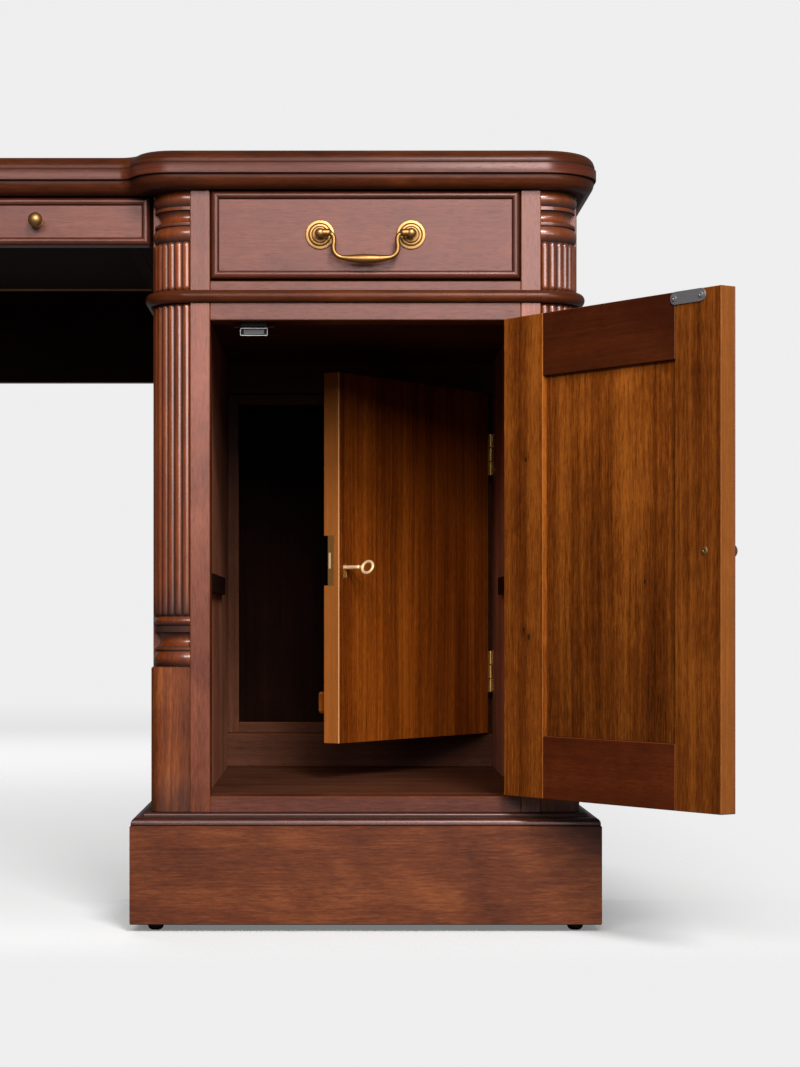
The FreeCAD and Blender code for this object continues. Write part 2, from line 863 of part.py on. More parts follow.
def cupboard_door(side, name, placement=None):
    free, hinged = S.door_gap - opening_half, opening_half - S.hinge_gap
    low, high = floor_z + S.door_bottom_gap, lintel_z - S.door_gap
    y = (front, front + S.door_thickness)
    panel_u = (free + S.door_stile, hinged - S.door_stile)
    panel_z = (low + S.door_rail, high - S.door_rail)
    knob_x = (pedestal_x + free + S.door_knob_inset) * side
    knob_z = (low + high) / 2
    free_stile = box("free_stile", across(side, free, panel_u[0]), y, (low, high))
    screw_hole = rod("screw_hole", S.knob_screw_radius + S.knob_screw_gap, S.door_thickness, knob_x, front,
                     knob_z, ALONG_Y)
    frame = [
        cut("drilled_stile", free_stile, screw_hole),
        box("hinge_stile", across(side, panel_u[1], hinged), y, (low, high)),
        box("door_rail", across(side, *panel_u), y, (low, panel_z[0])),
        box("door_rail", across(side, *panel_u), y, (panel_z[1], high)),
    ]
    node(f"{name}_frame", frame, placement)
    panel_face = front + S.door_panel_recess
    panel_y = (panel_face, panel_face + S.door_panel_thickness)
    panel = [
        box("door_panel", across(side, *panel_u), panel_y, panel_z),
        bead_frame(across(side, *panel_u), panel_z, panel_face),
    ]
    node(f"{name}_panel", panel, placement)
    screw = fuse(
        "knob_screw",
        rod("screw_shank", S.knob_screw_radius, S.door_thickness, knob_x, front, knob_z, ALONG_Y),
        rod("screw_head", S.knob_screw_head_radius, S.knob_screw_head_height, knob_x, y[1], knob_z, ALONG_Y),
    )
    node(f"{name}_knob", [ball_knob(knob_x, front, knob_z), screw], placement)
    node(f"{name}_strike", strike_plate(side, free + S.strike_inset, y[1], high), placement)


def strike_plate(side, middle, face, top):
    u = across(side, middle - S.strike_length / 2, middle + S.strike_length / 2)
    level = top - S.strike_height / 2
    plate = box("strike_plate", u, (face, face + S.strike_thickness), (top - S.strike_height, top))
    ends = round_edges(plate, S.strike_height / 2 - S.running_gap,
                       lambda bounds: bounds.YLength > bounds.XLength + bounds.ZLength)
    heads = [
        rod("strike_screw", S.strike_screw_radius, S.strike_screw_height,
            (pedestal_x + middle + S.strike_screw_spacing / 2 * way) * side, face + S.strike_thickness, level,
            ALONG_Y)
        for way in (1, -1)
    ]
    return [ends] + heads


# Drawers


def drawer_box(x, y, z, bottom_lift):
    """Two sides and a back, and the bottom between them."""
    inner_x = (x[0] + S.drawer_board, x[1] - S.drawer_board)
    walls = [
        box("drawer_side", (x[0], inner_x[0]), y, z),
        box("drawer_side", (inner_x[1], x[1]), y, z),
        box("drawer_back", inner_x, (y[1] - S.drawer_board, y[1]), z),
    ]
    low = z[0] + bottom_lift
    bottom = box("drawer_bottom", inner_x, (y[0], y[1] - S.drawer_board),
                 (low, low + S.drawer_bottom_thickness))
    return walls, bottom


def bail_post(x, face, z, inward):
    """A round backplate and a post with a ball that is drilled for the bail's pin."""
    tip = face - S.post_reach
    parts = [
        rod("rosette", S.rosette_radius, S.rosette_thickness, x, face - S.rosette_thickness, z, ALONG_Y),
        rod("post", S.post_radius, S.post_reach, x, tip, z, ALONG_Y),
        ball("post_ball", S.post_ball_radius, x, tip, z),
    ]
    turn = ALONG_X if inward > 0 else ALONG_X.inverted()
    bore_length = S.post_ball_radius + S.cut_overrun
    bore = rod("post_bore", S.bail_radius + S.bail_pin_gap, bore_length, x, tip, z, turn)
    return cut("bail_post", fuse("post_whole", *parts), bore)


def bail(x, y, z):
    """A bent rod between two posts that hangs in a plane, with a swollen grip."""
    half = float(S.bail_spacing / 2 - S.running_gap)
    neck = float(S.bail_spacing / 2 - S.bail_neck)
    drop = float(S.bail_drop)
    bend = float(S.bail_bend)
    diagonal = bend * (1 - math.sqrt(1 / 2))

    def at(along, down):
        return FreeCAD.Vector(along, 0, -down)

    left = [
        Part.LineSegment(at(-half, 0), at(-neck - bend, 0)).toShape(),
        Part.Arc(at(-neck - bend, 0), at(-neck - diagonal, diagonal), at(-neck, bend)).toShape(),
        Part.LineSegment(at(-neck, bend), at(-neck, drop - bend)).toShape(),
        Part.Arc(at(-neck, drop - bend), at(-neck + diagonal, drop - diagonal),
                 at(-neck + bend, drop)).toShape(),
        Part.LineSegment(at(-neck + bend, drop), at(0, drop)).toShape(),
    ]
    mirror = Part.Wire(left).mirror(FreeCAD.Vector(), FreeCAD.Vector(1, 0, 0))
    path = Part.Wire(left + mirror.Edges[::-1])
    section = Part.Wire(Part.makeCircle(float(S.bail_radius), at(-half, 0), FreeCAD.Vector(1, 0, 0)))
    tube = path.makePipeShell([section], True, False)
    grip_half = float(S.bail_grip_length) / 2
    thin = float(S.bail_radius) / 2
    arc = Part.Arc(at(-grip_half, drop - thin), at(0, drop - float(S.bail_grip_radius)),
                   at(grip_half, drop - thin)).toShape()
    outline = [arc, Part.LineSegment(at(grip_half, drop - thin), at(grip_half, drop)).toShape(),
               Part.LineSegment(at(grip_half, drop), at(-grip_half, drop)).toShape(),
               Part.LineSegment(at(-grip_half, drop), at(-grip_half, drop - thin)).toShape()]
    grip = Part.Face(Part.Wire(outline)).revolve(at(0, drop), FreeCAD.Vector(1, 0, 0), 360)
    place_at = FreeCAD.Placement(FreeCAD.Vector(float(x), float(y), float(z)), FreeCAD.Rotation())
    return solid("bail", tube.fuse(grip).removeSplitter(), place_at)


def pedestal_drawer(side, name):
    half = opening_half - S.drawer_side_gap
    face = front + S.drawer_face_setback
    x = across(side, -half, half)
    z = (drawer_z + S.drawer_bottom_gap, carcass_z - S.drawer_top_gap)
    back = face + S.drawer_front_thickness
    node(f"{name}_front", [box("drawer_front", x, (face, back), z), bead_frame(x, z, face)])
    box_half = opening_half - S.drawer_box_gap
    low = drawer_z + S.running_gap
    walls, bottom = drawer_box(across(side, -box_half, box_half), (back, back + S.drawer_box_length),
                               (low, low + S.drawer_box_height), S.drawer_bottom_lift)
    node(f"{name}_box", walls)
    node(f"{name}_bottom", [bottom])
    middle_x, middle_z = pedestal_x * side, (z[0] + z[1]) / 2
    posts = [
        bail_post(middle_x - S.bail_spacing / 2 * inward, face, middle_z, inward) for inward in (1, -1)
    ]
    node(f"{name}_posts", posts)
    node(f"{name}_bail", [bail(middle_x, face - S.post_reach, middle_z)])


def kneehole_drawer():
    half = kneehole_half - S.centre_side_gap
    face = front + S.centre_setback
    back = face + S.drawer_front_thickness
    high = carcass_z - S.drawer_top_gap
    z = (high - S.centre_front_height, high)
    node("centre_drawer_front", [box("drawer_front", (-half, half), (face, back), z),
                                 bead_frame((-half, half), z, face)])
    ledge_top = carcass_z - S.centre_runner_drop + S.centre_ledge_height
    box_half = kneehole_half - S.centre_runner_block - S.drawer_box_gap
    low = ledge_top + S.running_gap
    walls, bottom = drawer_box((-box_half, box_half), (back, back + S.drawer_box_length),
                               (low, low + S.centre_box_height), S.centre_bottom_lift)
    node("centre_drawer_box", walls)
    node("centre_drawer_bottom", [bottom])
    knob_x = half - S.centre_knob_inset
    node("centre_drawer_knobs", [ball_knob(knob_x * way, face, (z[0] + z[1]) / 2) for way in (1, -1)])


def kneehole():
    """The runners that hang the shallow drawer between the pedestals, and the apron at the back."""
    start = front + S.centre_setback + S.drawer_front_thickness + S.centre_runner_back
    y = (start, start + S.drawer_box_length)
    low = carcass_z - S.centre_runner_drop
    block_end = kneehole_half - S.centre_runner_block
    pieces = []
    for x in both_ways(block_end, kneehole_half):
        pieces.append(box("runner_block", x, y, (low, low + S.centre_runner_height)))
    for x in both_ways(block_end - S.centre_ledge_width, block_end):
        pieces.append(box("runner_ledge", x, y, (low, low + S.centre_ledge_height)))
    node("centre_drawer_runners", pieces)
    apron_y = from_front(S.centre_setback, S.centre_setback + S.apron_thickness, REAR)
    apron_z = (carcass_z - S.apron_height, carcass_z)
    board = box("apron_board", (-kneehole_half, kneehole_half), apron_y, apron_z)
    notch_y = (apron_y[0] - S.cut_overrun, apron_y[1] + S.cut_overrun)
    notch_start = kneehole_half - S.waist_reach - S.running_gap
    notches = [
        box("waist_notch", x, notch_y, (waist_z, waist_top_z))
        for x in both_ways(notch_start, kneehole_half + S.cut_overrun)
    ]
    node("kneehole_apron", [cut("apron", board, *notches)])


# Inner door

inner_free = S.inner_door_side_gap - lining_inner
inner_hinged = lining_inner - S.inner_hinge_gap
inner_low = inner_z + S.inner_door_gap
inner_high = inner_top_z - S.inner_door_gap
inner_back = inner_y + S.inner_door_thickness
inner_axis = (
    pedestal_x + inner_hinged + S.inner_hinge_axis_offset,
    inner_y - S.inner_hinge_axis_reach,
)
inner_turn = turned_about(*inner_axis, INNER_DOOR_DEGREES)
lock_z = inner_low + S.lock_level
lock_y = inner_y + S.lock_cover
key_x = pedestal_x + inner_free + S.key_backset
key_z = lock_z + S.key_level
bolt_y_low = lock_y + S.lock_case_depth - S.lock_wall - S.bolt_gap - S.bolt_thickness
bolt_y = (bolt_y_low, bolt_y_low + S.bolt_thickness)
bolt_z_middle = lock_z + S.bolt_level
bolt_z = (bolt_z_middle - S.bolt_height / 2, bolt_z_middle + S.bolt_height / 2)


def keyhole(name, grow, y):
    """The keyhole's outline as a tool: a round with a slot below it, grown all round."""
    half_slot = S.keyhole_slot_width / 2 + grow
    return [
        rod(f"{name}_round", S.keyhole_radius + grow, y[1] - y[0], key_x, y[0], key_z, ALONG_Y),
        box(f"{name}_slot", (key_x - half_slot, key_x + half_slot), y,
            (key_z - S.keyhole_slot_length - grow, key_z)),
    ]


def inner_surround():
    """Rails below and above the inner door, and the frame behind that stops it."""
    y = (inner_y, inner_back)
    rails = [inside_board("inner_rail", RIGHT, z) for z in ((floor_z, inner_z), (inner_top_z, dust_z))]
    for rail in rails:
        bind(rail, Width=y[1] - y[0])
        rail.setExpression("Placement.Base.y", y[0].text)
    node("inner_rails", rails)
    stop_y = (inner_back + S.inner_stop_gap, inner_back + S.inner_stop_gap + S.inner_stop_thickness)
    stop_inner = lining_inner - S.inner_stop_width
    stops = [
        box("stop_side", across(RIGHT, *u), stop_y, (inner_z, inner_top_z))
        for u in both_ways(stop_inner, lining_inner)
    ]
    for z in ((inner_z, inner_z + S.inner_stop_width), (inner_top_z - S.inner_stop_width, inner_top_z)):
        stops.append(box("stop_rail", across(RIGHT, -stop_inner, stop_inner), stop_y, z))
    node("inner_stop_frame", stops)


def inner_door_slab():
    slab = box("slab", across(RIGHT, inner_free, inner_hinged), (inner_y, inner_back),
               (inner_low, inner_high))
    lock_end = inner_free + S.lock_plate_thickness + S.lock_case_width
    recess = box("lock_recess", across(RIGHT, inner_free - S.cut_overrun, lock_end),
                 (lock_y, inner_back + S.cut_overrun), (lock_z, lock_z + S.lock_plate_height))
    hole = keyhole("door_keyhole", S.liner_wall, (inner_y - S.cut_overrun, lock_y + S.cut_overrun))
    node("inner_door", [cut("inner_door_slab", slab, recess, *hole)], inner_turn)


def lock_case():
    """A let-in lock: its edge plate and hollow case, with a way through for the bolt and the key."""
    case_low = lock_z + (S.lock_plate_height - S.lock_case_height) / 2
    plate_u = (inner_free, inner_free + S.lock_plate_thickness)
    case_u = (plate_u[1], plate_u[1] + S.lock_case_width)
    y = (lock_y, lock_y + S.lock_case_depth)
    case_z = (case_low, case_low + S.lock_case_height)
    wall = S.lock_wall
    whole = fuse(
        "lock_whole",
        box("lock_plate", across(RIGHT, *plate_u), y, (lock_z, lock_z + S.lock_plate_height)),
        box("lock_box", across(RIGHT, *case_u), y, case_z),
    )
    cavity = box("lock_cavity", across(RIGHT, case_u[0] + wall, case_u[1] - wall),
                 (y[0] + wall, y[1] - wall), (case_z[0] + wall, case_z[1] - wall))
    gap = S.bolt_gap
    bolt_way = box("bolt_way", across(RIGHT, inner_free - S.cut_overrun, case_u[0] + wall + S.cut_overrun),
                   (bolt_y[0] - gap, bolt_y[1] + gap), (bolt_z[0] - gap, bolt_z[1] + gap))
    hole = keyhole("case_keyhole", ZERO, (lock_y - S.cut_overrun, lock_y + wall + S.running_gap))
    node("inner_door_lock", [cut("lock", whole, cavity, bolt_way, *hole)], inner_turn)


def keyhole_liner():
    y = (inner_y - S.liner_reach, lock_y)
    inside_y = (y[0] - S.cut_overrun, y[1] + S.cut_overrun)
    outside = fuse("liner_outside", *keyhole("liner", S.liner_wall, y))
    liner = cut("keyhole_liner", outside, *keyhole("liner_hole", ZERO, inside_y))
    node("inner_door_keyhole", [liner], inner_turn)


def lock_bolt():
    u = (inner_free, inner_free + S.bolt_length)
    node("inner_door_bolt", [box("bolt", across(RIGHT, *u), bolt_y, bolt_z)], inner_turn)


def lock_key():
    """A key with a ring bow, a collar on its shank and a plain bit inside the lock."""
    bit_start = lock_y + S.lock_wall + S.running_gap
    bit_end = bit_start + S.key_bit_thickness
    bow_y = inner_y - S.key_reach - S.key_bow_radius
    bow = bind(doc.addObject("Part::Torus", "key_bow"), Radius1=S.key_bow_radius, Radius2=S.key_bow_wire)
    place(bow, key_x, bow_y, key_z, ALONG_X)
    start = bow_y + S.key_bow_radius
    shank = rod("key_shank", S.key_shank_radius, bit_end - start, key_x, start, key_z, ALONG_Y)
    collar = rod("key_collar", S.key_collar_radius, S.key_collar_length, key_x,
                 inner_y - S.key_collar_reach, key_z, ALONG_Y)
    half_bit = S.key_bit_width / 2
    bit = box("key_bit", (key_x - half_bit, key_x + half_bit), (bit_start, bit_end),
              (key_z - S.key_bit_length, key_z))
    node("inner_door_key", [fuse("key", bow, shank, collar, bit)], inner_turn)


def inner_hinges():
    leaf_y = (inner_y, inner_y + S.inner_hinge_leaf_width)
    tab_y = (inner_axis[1], inner_y)
    door_x = across(RIGHT, inner_hinged, inner_hinged + S.hinge_leaf)
    wall_x = across(RIGHT, lining_inner - S.hinge_leaf, lining_inner)
    wall, door = [], []
    height = S.inner_hinge_height
    low = inner_low + S.inner_hinge_end_distance
    for level in (low, inner_high - S.inner_hinge_end_distance - height):
        shared = (leaf_y, tab_y, inner_axis, level, height, S.inner_knuckle_radius, S.inner_pin_radius)
        wall.append(hinge_leaf("wall_leaf", wall_x, *shared, OUTER_KNUCKLES))
        wall.append(rod("inner_pin", S.inner_pin_radius, height, *inner_axis, level))
        door.append(hinge_leaf("inner_leaf", door_x, *shared, MIDDLE_KNUCKLE))
    node("inner_frame_hinges", wall)
    node("inner_door_hinges", door, inner_turn)


def inner_block():
    """A small block on the back of the inner door, clear of the stop frame."""
    start = inner_free + S.inner_block_inset
    low = inner_low + S.inner_block_level
    block = box("block", across(RIGHT, start, start + S.inner_block_width),
                (inner_back, inner_back + S.inner_block_reach), (low, low + S.inner_block_height))
    node("inner_door_block", [block], inner_turn)


# Assembly


def carcasses():
    """Every fixed piece of the two pedestals. Boards of one kind share a node."""
    both = (RIGHT, LEFT)

    def of_both(make):
        return [piece for side in both for piece in make(side)]

    for side, name in zip(both, ("right", "left")):
        node(f"{name}_plinth", plinth(side))
        node(f"{name}_columns", corner_columns(side))
    node("waist_mouldings", [waist_moulding(side) for side in both])
    node("plinth_caps", [plinth_cap(side) for side in both])
    node("glides", glides())
    node("face_stiles", of_both(face_stiles))
    node("face_rails", of_both(face_rails))
    node("side_stiles", of_both(side_stiles))
    node("side_rails", of_both(side_rails))
    node("side_panels", of_both(side_panels))
    node("back_panels", of_both(back_panels))
    node("linings", of_both(linings))
    node("base_blocks", of_both(base_blocks))
    node("cupboard_floors", [
        inside_board("floor_board", side, (floor_z - S.floor_thickness, floor_z)) for side in both
    ])
    node("dust_boards", [inside_board("dust_board", side, (dust_z, dust_top_z)) for side in both])
    node("drawer_runners", of_both(drawer_runners))
    node("shelf_cleats", of_both(shelf_cleats))
    node("left_shelf", [left_shelf()])
    node("magnetic_catches", [magnetic_catch(side) for side in both])


def doors():
    frame_leaves = []
    for side, name, degrees in ((RIGHT, "right_door", RIGHT_DOOR_DEGREES), (LEFT, "left_door", 0)):
        placement = turned_about(*hinge_axis(side), degrees) if degrees else None
        cupboard_door(side, name, placement)
        frame, door = door_hinges(side)
        frame_leaves += frame
        node(f"{name}_hinges", door, placement)
    node("door_frame_hinges", frame_leaves)


def build():
    desk_top()
    frame_moulding()
    carcasses()
    kneehole()
    kneehole_drawer()
    doors()
    pedestal_drawer(RIGHT, "right_drawer")
    pedestal_drawer(LEFT, "left_drawer")
    inner_surround()
    inner_door_slab()
    lock_case()
    keyhole_liner()
    lock_bolt()
    lock_key()
    inner_hinges()
    inner_block()
    doc.recompute()


def write_parts():
    """Check every object and shape, then write one file for each node."""
    failed = [o.Label for o in doc.Objects if "Invalid" in o.State or "Error" in o.State]
    failed += [n for n, piece in nodes.items() if piece.Shape.isNull() or not piece.Shape.isValid()]
    if failed:
        raise RuntimeError(f"these did not build: {failed}")
    os.makedirs("parts", exist_ok=True)
    for name, piece in nodes.items():
        piece.Shape.exportStep(os.path.join("parts", f"{name}.step"))
        print(f"{name}: {len(piece.Shape.Solids)} solids, {piece.Shape.Volume / 1000:.1f} cm3")
    print(f"{len(nodes)} nodes")


build()
write_parts()
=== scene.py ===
"""Looks of the twin pedestal desk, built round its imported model.

Lengths are in millimetres until a mesh is made, in the model's own frame: +X to the sitter's right, +Y to
the back, +Z up. Places across a pedestal are measured from its middle, positive towards the desk's outer
end. Every wooden skin carries the place of each point in its own board, so that the grain follows the board.
"""

import math

import bpy
import numpy as np
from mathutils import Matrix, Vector


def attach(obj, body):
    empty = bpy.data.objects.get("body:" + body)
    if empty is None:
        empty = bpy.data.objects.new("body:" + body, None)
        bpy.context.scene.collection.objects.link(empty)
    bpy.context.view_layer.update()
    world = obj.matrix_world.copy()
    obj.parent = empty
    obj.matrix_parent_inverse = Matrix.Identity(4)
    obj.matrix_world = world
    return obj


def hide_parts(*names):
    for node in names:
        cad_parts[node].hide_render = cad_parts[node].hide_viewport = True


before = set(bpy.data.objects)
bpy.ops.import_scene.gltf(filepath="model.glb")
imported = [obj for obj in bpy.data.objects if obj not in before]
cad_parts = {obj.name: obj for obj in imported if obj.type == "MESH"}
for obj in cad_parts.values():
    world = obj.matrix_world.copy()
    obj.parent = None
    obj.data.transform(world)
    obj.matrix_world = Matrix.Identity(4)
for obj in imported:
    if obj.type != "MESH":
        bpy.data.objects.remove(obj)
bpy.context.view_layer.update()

MM = 0.001
TAU = 2 * math.pi
RNG = np.random.default_rng(41)
SIDES = (1, -1)

# Places across and along the desk
PEDESTAL_X = 527.5
HALF_PEDESTAL = 215.0
HALF_DEPTH = 361.5
FRONT = -HALF_DEPTH
OVERHANG = 19.5
NOTCH = 39.5
STILE = 20.0
OPENING = 155.5
LINING_IN = 160.0
LINING_OUT = 175.5
SIDE_IN = 195.0
SIDE_PANEL = 209.0
KNEEHOLE = PEDESTAL_X - HALF_PEDESTAL
FRAME_FRONT = FRONT + NOTCH
FRAME_REAR = HALF_DEPTH - NOTCH
PLINTH_X = HALF_PEDESTAL + OVERHANG
TOP_X = PEDESTAL_X + PLINTH_X
TOP_Y = HALF_DEPTH + OVERHANG

# Levels, from the ground up
GLIDE_TOP = 7.5
CAP = 105.5
BASE = 117.5
FLOOR = 133.5
INNER_LOW = 173.0
REAR_RAIL = 177.5
BLOCK_TOP = 263.0
SHELF = 358.5
INNER_HIGH = 584.0
LINTEL = 610.0
APRON = 611.5
DUST = 620.0
WAIST = 627.0
DUST_TOP = 632.0
WAIST_TOP = 640.0
DRAWER = 649.0
TOP_RAIL = 700.0
CARCASS = 740.0
BOARD = 754.0
QUIRK = 765.0
TOP = 778.0

# Turning axes and angles of the doors at rest
DOOR_AXIS = (PEDESTAL_X + OPENING - 1.1, FRONT - 4.0)
DOOR_ANGLE = math.radians(125)
INNER_FREE = -158.0
INNER_FACE = FRONT + 509.0
INNER_AXIS = (PEDESTAL_X + 157.2, INNER_FACE - 3.0)
INNER_ANGLE = math.radians(55)


def turned_back(point, axis, angle):
    """Where a point that has turned about an axis lies once the same turn is undone about the origin."""
    cos, sin = math.cos(angle), math.sin(angle)
    back = (cos * axis[0] + sin * axis[1], cos * axis[1] - sin * axis[0])
    return (point[0] - axis[0] + back[0], point[1] - axis[1] + back[1])


INNER_CORNER = turned_back((PEDESTAL_X + INNER_FREE, INNER_FACE), INNER_AXIS, INNER_ANGLE)


# Places


def across(side, low, high):
    """A stretch across one pedestal, as places along X."""
    low, high = PEDESTAL_X + low, PEDESTAL_X + high
    return (low, high) if side > 0 else (-high, -low)


def pair(low, high):
    """A stretch and its mirror about the middle of the pedestal."""
    return [(low, high), (-high, -low)]


def depth(low, high, rear=False):
    """A stretch measured inwards from the front or the rear of the carcass, as places along Y."""
    return (HALF_DEPTH - high, HALF_DEPTH - low) if rear else (FRONT + low, FRONT + high)


def arc(start, end, count):
    """Angles spaced evenly between two, given in degrees."""
    return np.linspace(math.radians(start), math.radians(end), count)


def curve(middle, radii, angles):
    """Points of an ellipse at the angles given, as profile rows."""
    return list(zip(middle[0] + radii[0] * np.cos(angles), middle[1] + radii[1] * np.sin(angles)))


def spots(count, values):
    """Zeros, but for the values given by place."""
    row = np.zeros(count)
    row[list(values)] = list(values.values())
    return row


# Skins: points, faces and grain places


class Skin:
    """Part of a piece: points, faces, each point's grain place, tone, and painted shade with some dark
    antiquing, and each face's paler edge, partly rubbing and partly painted highlight.
    """

    def __init__(self, points, faces, grain=None, tone=0.0, glaze=0.0, wear=0.0):
        self.points = np.asarray(points, float).reshape(-1, 3)
        count = len(self.points)
        self.faces = [tuple(face) for face in faces]
        self.grain = self.points.copy() if grain is None else np.asarray(grain, float).reshape(-1, 3)
        self.tone = np.broadcast_to(np.asarray(tone, float).ravel(), (count,)).copy()
        self.glaze = np.broadcast_to(np.asarray(glaze, float).ravel(), (count,)).copy()
        self.wear = np.broadcast_to(np.asarray(wear, float).ravel(), (len(self.faces),)).copy()

    def moved(self, points):
        """The same skin with its points elsewhere and its grain unchanged."""
        return Skin(points, self.faces, self.grain, self.tone, self.glaze, self.wear)

    def turned(self, axis, angle):
        """The same skin turned about an upright axis."""
        cos, sin = math.cos(angle), math.sin(angle)
        x, y = (self.points[:, :2] - axis).T
        turned = [axis[0] + cos * x - sin * y, axis[1] + sin * x + cos * y, self.points[:, 2]]
        return self.moved(np.column_stack(turned))


def join(skins):
    """One skin out of several."""
    starts = np.cumsum([0] + [len(skin.points) for skin in skins])
    faces = [tuple(i + start for i in face) for skin, start in zip(skins, starts) for face in skin.faces]
    parts = ("points", "grain", "tone", "glaze", "wear")
    stacked = [np.concatenate([getattr(skin, part) for skin in skins]) for part in parts]
    return Skin(stacked[0], faces, *stacked[1:])


def outwards(skin):
    """Turn every face of a closed skin round if its volume comes out negative."""
    fans = [(face[0], face[i], face[i + 1]) for face in skin.faces for i in range(1, len(face) - 1)]
    first, second, third = skin.points[np.array(fans)].transpose(1, 0, 2)
    if (first * np.cross(second, third)).sum() < 0:
        skin.faces = [face[::-1] for face in skin.faces]
    return skin


def new_offset():
    """A place far along the log, so that no two boards share their figure."""
    return RNG.uniform(-3000, 3000, 3)


SIGNS = np.array([[x, y, z] for x in (-1, 1) for y in (-1, 1) for z in (-1, 1)], float)


def chamfered_faces():
    """Faces of a box with three points at each corner, one on each side: 6 sides, 12 edges and 8 corners."""
    def corner(signs):
        return int(np.where((SIGNS == signs).all(1))[0][0])

    def ring(axis, sign):
        other = [k for k in range(3) if k != axis]
        signs = np.zeros((4, 3))
        signs[:, axis] = sign
        signs[:, other] = [(-1, -1), (1, -1), (1, 1), (-1, 1)]
        return [corner(row) for row in signs]

    faces = [[3 * c + axis for c in ring(axis, sign)] for axis in range(3) for sign in (-1, 1)]
    for axis in range(3):
        first, second = [k for k in range(3) if k != axis]
        for low in ring(axis, -1):
            high = corner(SIGNS[low] * np.where(np.arange(3) == axis, -1, 1))
            faces.append([3 * low + first, 3 * high + first, 3 * high + second, 3 * low + second])
    faces += [[3 * c, 3 * c + 1, 3 * c + 2] for c in range(8)]
    place = (SIGNS[:, None, :] * (1 - 0.1 * (1 - np.eye(3)))).reshape(-1, 3)
    out = []
    for face in faces:
        a, b, c = place[face[0]], place[face[1]], place[face[2]]
        outward = np.dot(np.cross(b - a, c - b), place[face].mean(0)) > 0
        out.append(tuple(face if outward else face[::-1]))
    return out


BOX_SIDES = 6
BOX_FACES = chamfered_faces()
# Edge and corner faces, which turn paler, partly as rubbing and partly as a painted highlight.
BOX_EDGE_FACES = np.arange(len(BOX_FACES)) >= BOX_SIDES
GRAIN_ORDER = {"x": [0, 1, 2], "y": [1, 0, 2], "z": [2, 0, 1]}


def board(x, y, z, grain, chamfer=0.8, tone=None, offset=None):
    """A board between two places on each axis, its edges broken by a small chamfer, paler partly as rubbing
    and partly as a painted highlight.

    Its tone is one number, or two for its low and high ends along the grain."""
    low, high = np.array([x, y, z], float).T
    middle, half = (low + high) / 2, abs(high - low) / 2
    chamfer = min(chamfer, half.min() * 0.8)
    local = (SIGNS[:, None, :] * (half - chamfer * (1 - np.eye(3)))).reshape(-1, 3)
    order = GRAIN_ORDER[grain]
    place = local[:, order] + (new_offset() if offset is None else offset)
    tone = RNG.uniform(-1, 1) if tone is None else tone
    if np.size(tone) == 2:
        tone = np.interp(local[:, order[0]], (-half[order[0]], half[order[0]]), tone)
    return Skin(middle + local, BOX_FACES, place, tone, 0.0, BOX_EDGE_FACES)


def grid_faces(rows, columns, wrap_rows=False, wrap_columns=False):
    """Quads of a grid of points numbered along its rows, which may close on itself either way."""
    i = np.arange(rows if wrap_rows else rows - 1)[:, None]
    j = np.arange(columns if wrap_columns else columns - 1)[None]
    low, high = i * columns, (i + 1) % rows * columns
    after = (j + 1) % columns
    quads = np.stack([low + j, low + after, high + after, high + j], -1)
    return quads.reshape(-1, 4).tolist()


def lofted(loops, grain=None, glaze=0.0):
    """A skin of one tone through closed loops of equally many points, [loop, point, xyz], with flat ends.

    The loops run anticlockwise seen from beyond the last one."""
    loops = np.asarray(loops, float)
    count, size = loops.shape[:2]
    faces = grid_faces(count, size, wrap_columns=True)
    faces += [list(range(size))[::-1], list(range((count - 1) * size, count * size))]
    return Skin(loops, faces, grain, RNG.uniform(-1, 1), glaze)


def lengths_along(points):
    """Distance from the first point, along a row of points."""
    steps = np.linalg.norm(np.diff(points, axis=0), axis=1)
    return np.concatenate([[0], np.cumsum(steps)])


def run_grain(loops):
    """Grain places of a moulding: along the run, round the section, and one place for the whole run."""
    along = lengths_along(loops.mean(1))[:, None] + np.zeros(loops.shape[1])
    round_section = lengths_along(loops[0])[None, :] + np.zeros((len(loops), 1))
    return np.stack([along, round_section, np.zeros_like(along)], -1) + new_offset()


def lathe(profile, centre, axis, segments, glaze=0.0):
    """A turned piece: profile rows of (radius, distance along axis) turned about an axis through centre."""
    profile = np.asarray(profile, float)
    axis = np.asarray(axis, float) / np.linalg.norm(axis)
    side = np.cross(axis, (0, 0, 1.0)) if abs(axis[2]) < 0.9 else np.array([1.0, 0, 0])
    side /= np.linalg.norm(side)
    up = np.cross(axis, side)
    angle = np.linspace(0, TAU, segments, endpoint=False)
    rim = np.cos(angle)[:, None] * side + np.sin(angle)[:, None] * up
    loops = np.asarray(centre, float) + profile[:, None, :1] * rim[None] + profile[:, None, 1:] * axis
    return lofted(loops, glaze=np.repeat(np.broadcast_to(glaze, len(profile)), segments))


def smooth_path(points, count):
    """Points spaced evenly along a cubic line through the given ones, whose slope at each of them is half
    the step between its neighbours."""
    points = np.asarray(points, float)
    padded = np.vstack([2 * points[0] - points[1], points, 2 * points[-1] - points[-2]])
    share = np.linspace(0, 1, 24, endpoint=False)[:, None]
    before, start, end, after = padded[:-3, None], padded[1:-2, None], padded[2:-1, None], padded[3:, None]
    line = 0.5 * (2 * start + (end - before) * share + (2 * before - 5 * start + 4 * end - after) * share**2
                  + (3 * start - before - 3 * end + after) * share**3)
    line = np.vstack([line.reshape(-1, 3), points[-1]])
    along = lengths_along(line)
    even = np.linspace(0, along[-1], count)
    return np.column_stack([np.interp(even, along, line[:, k]) for k in range(3)])


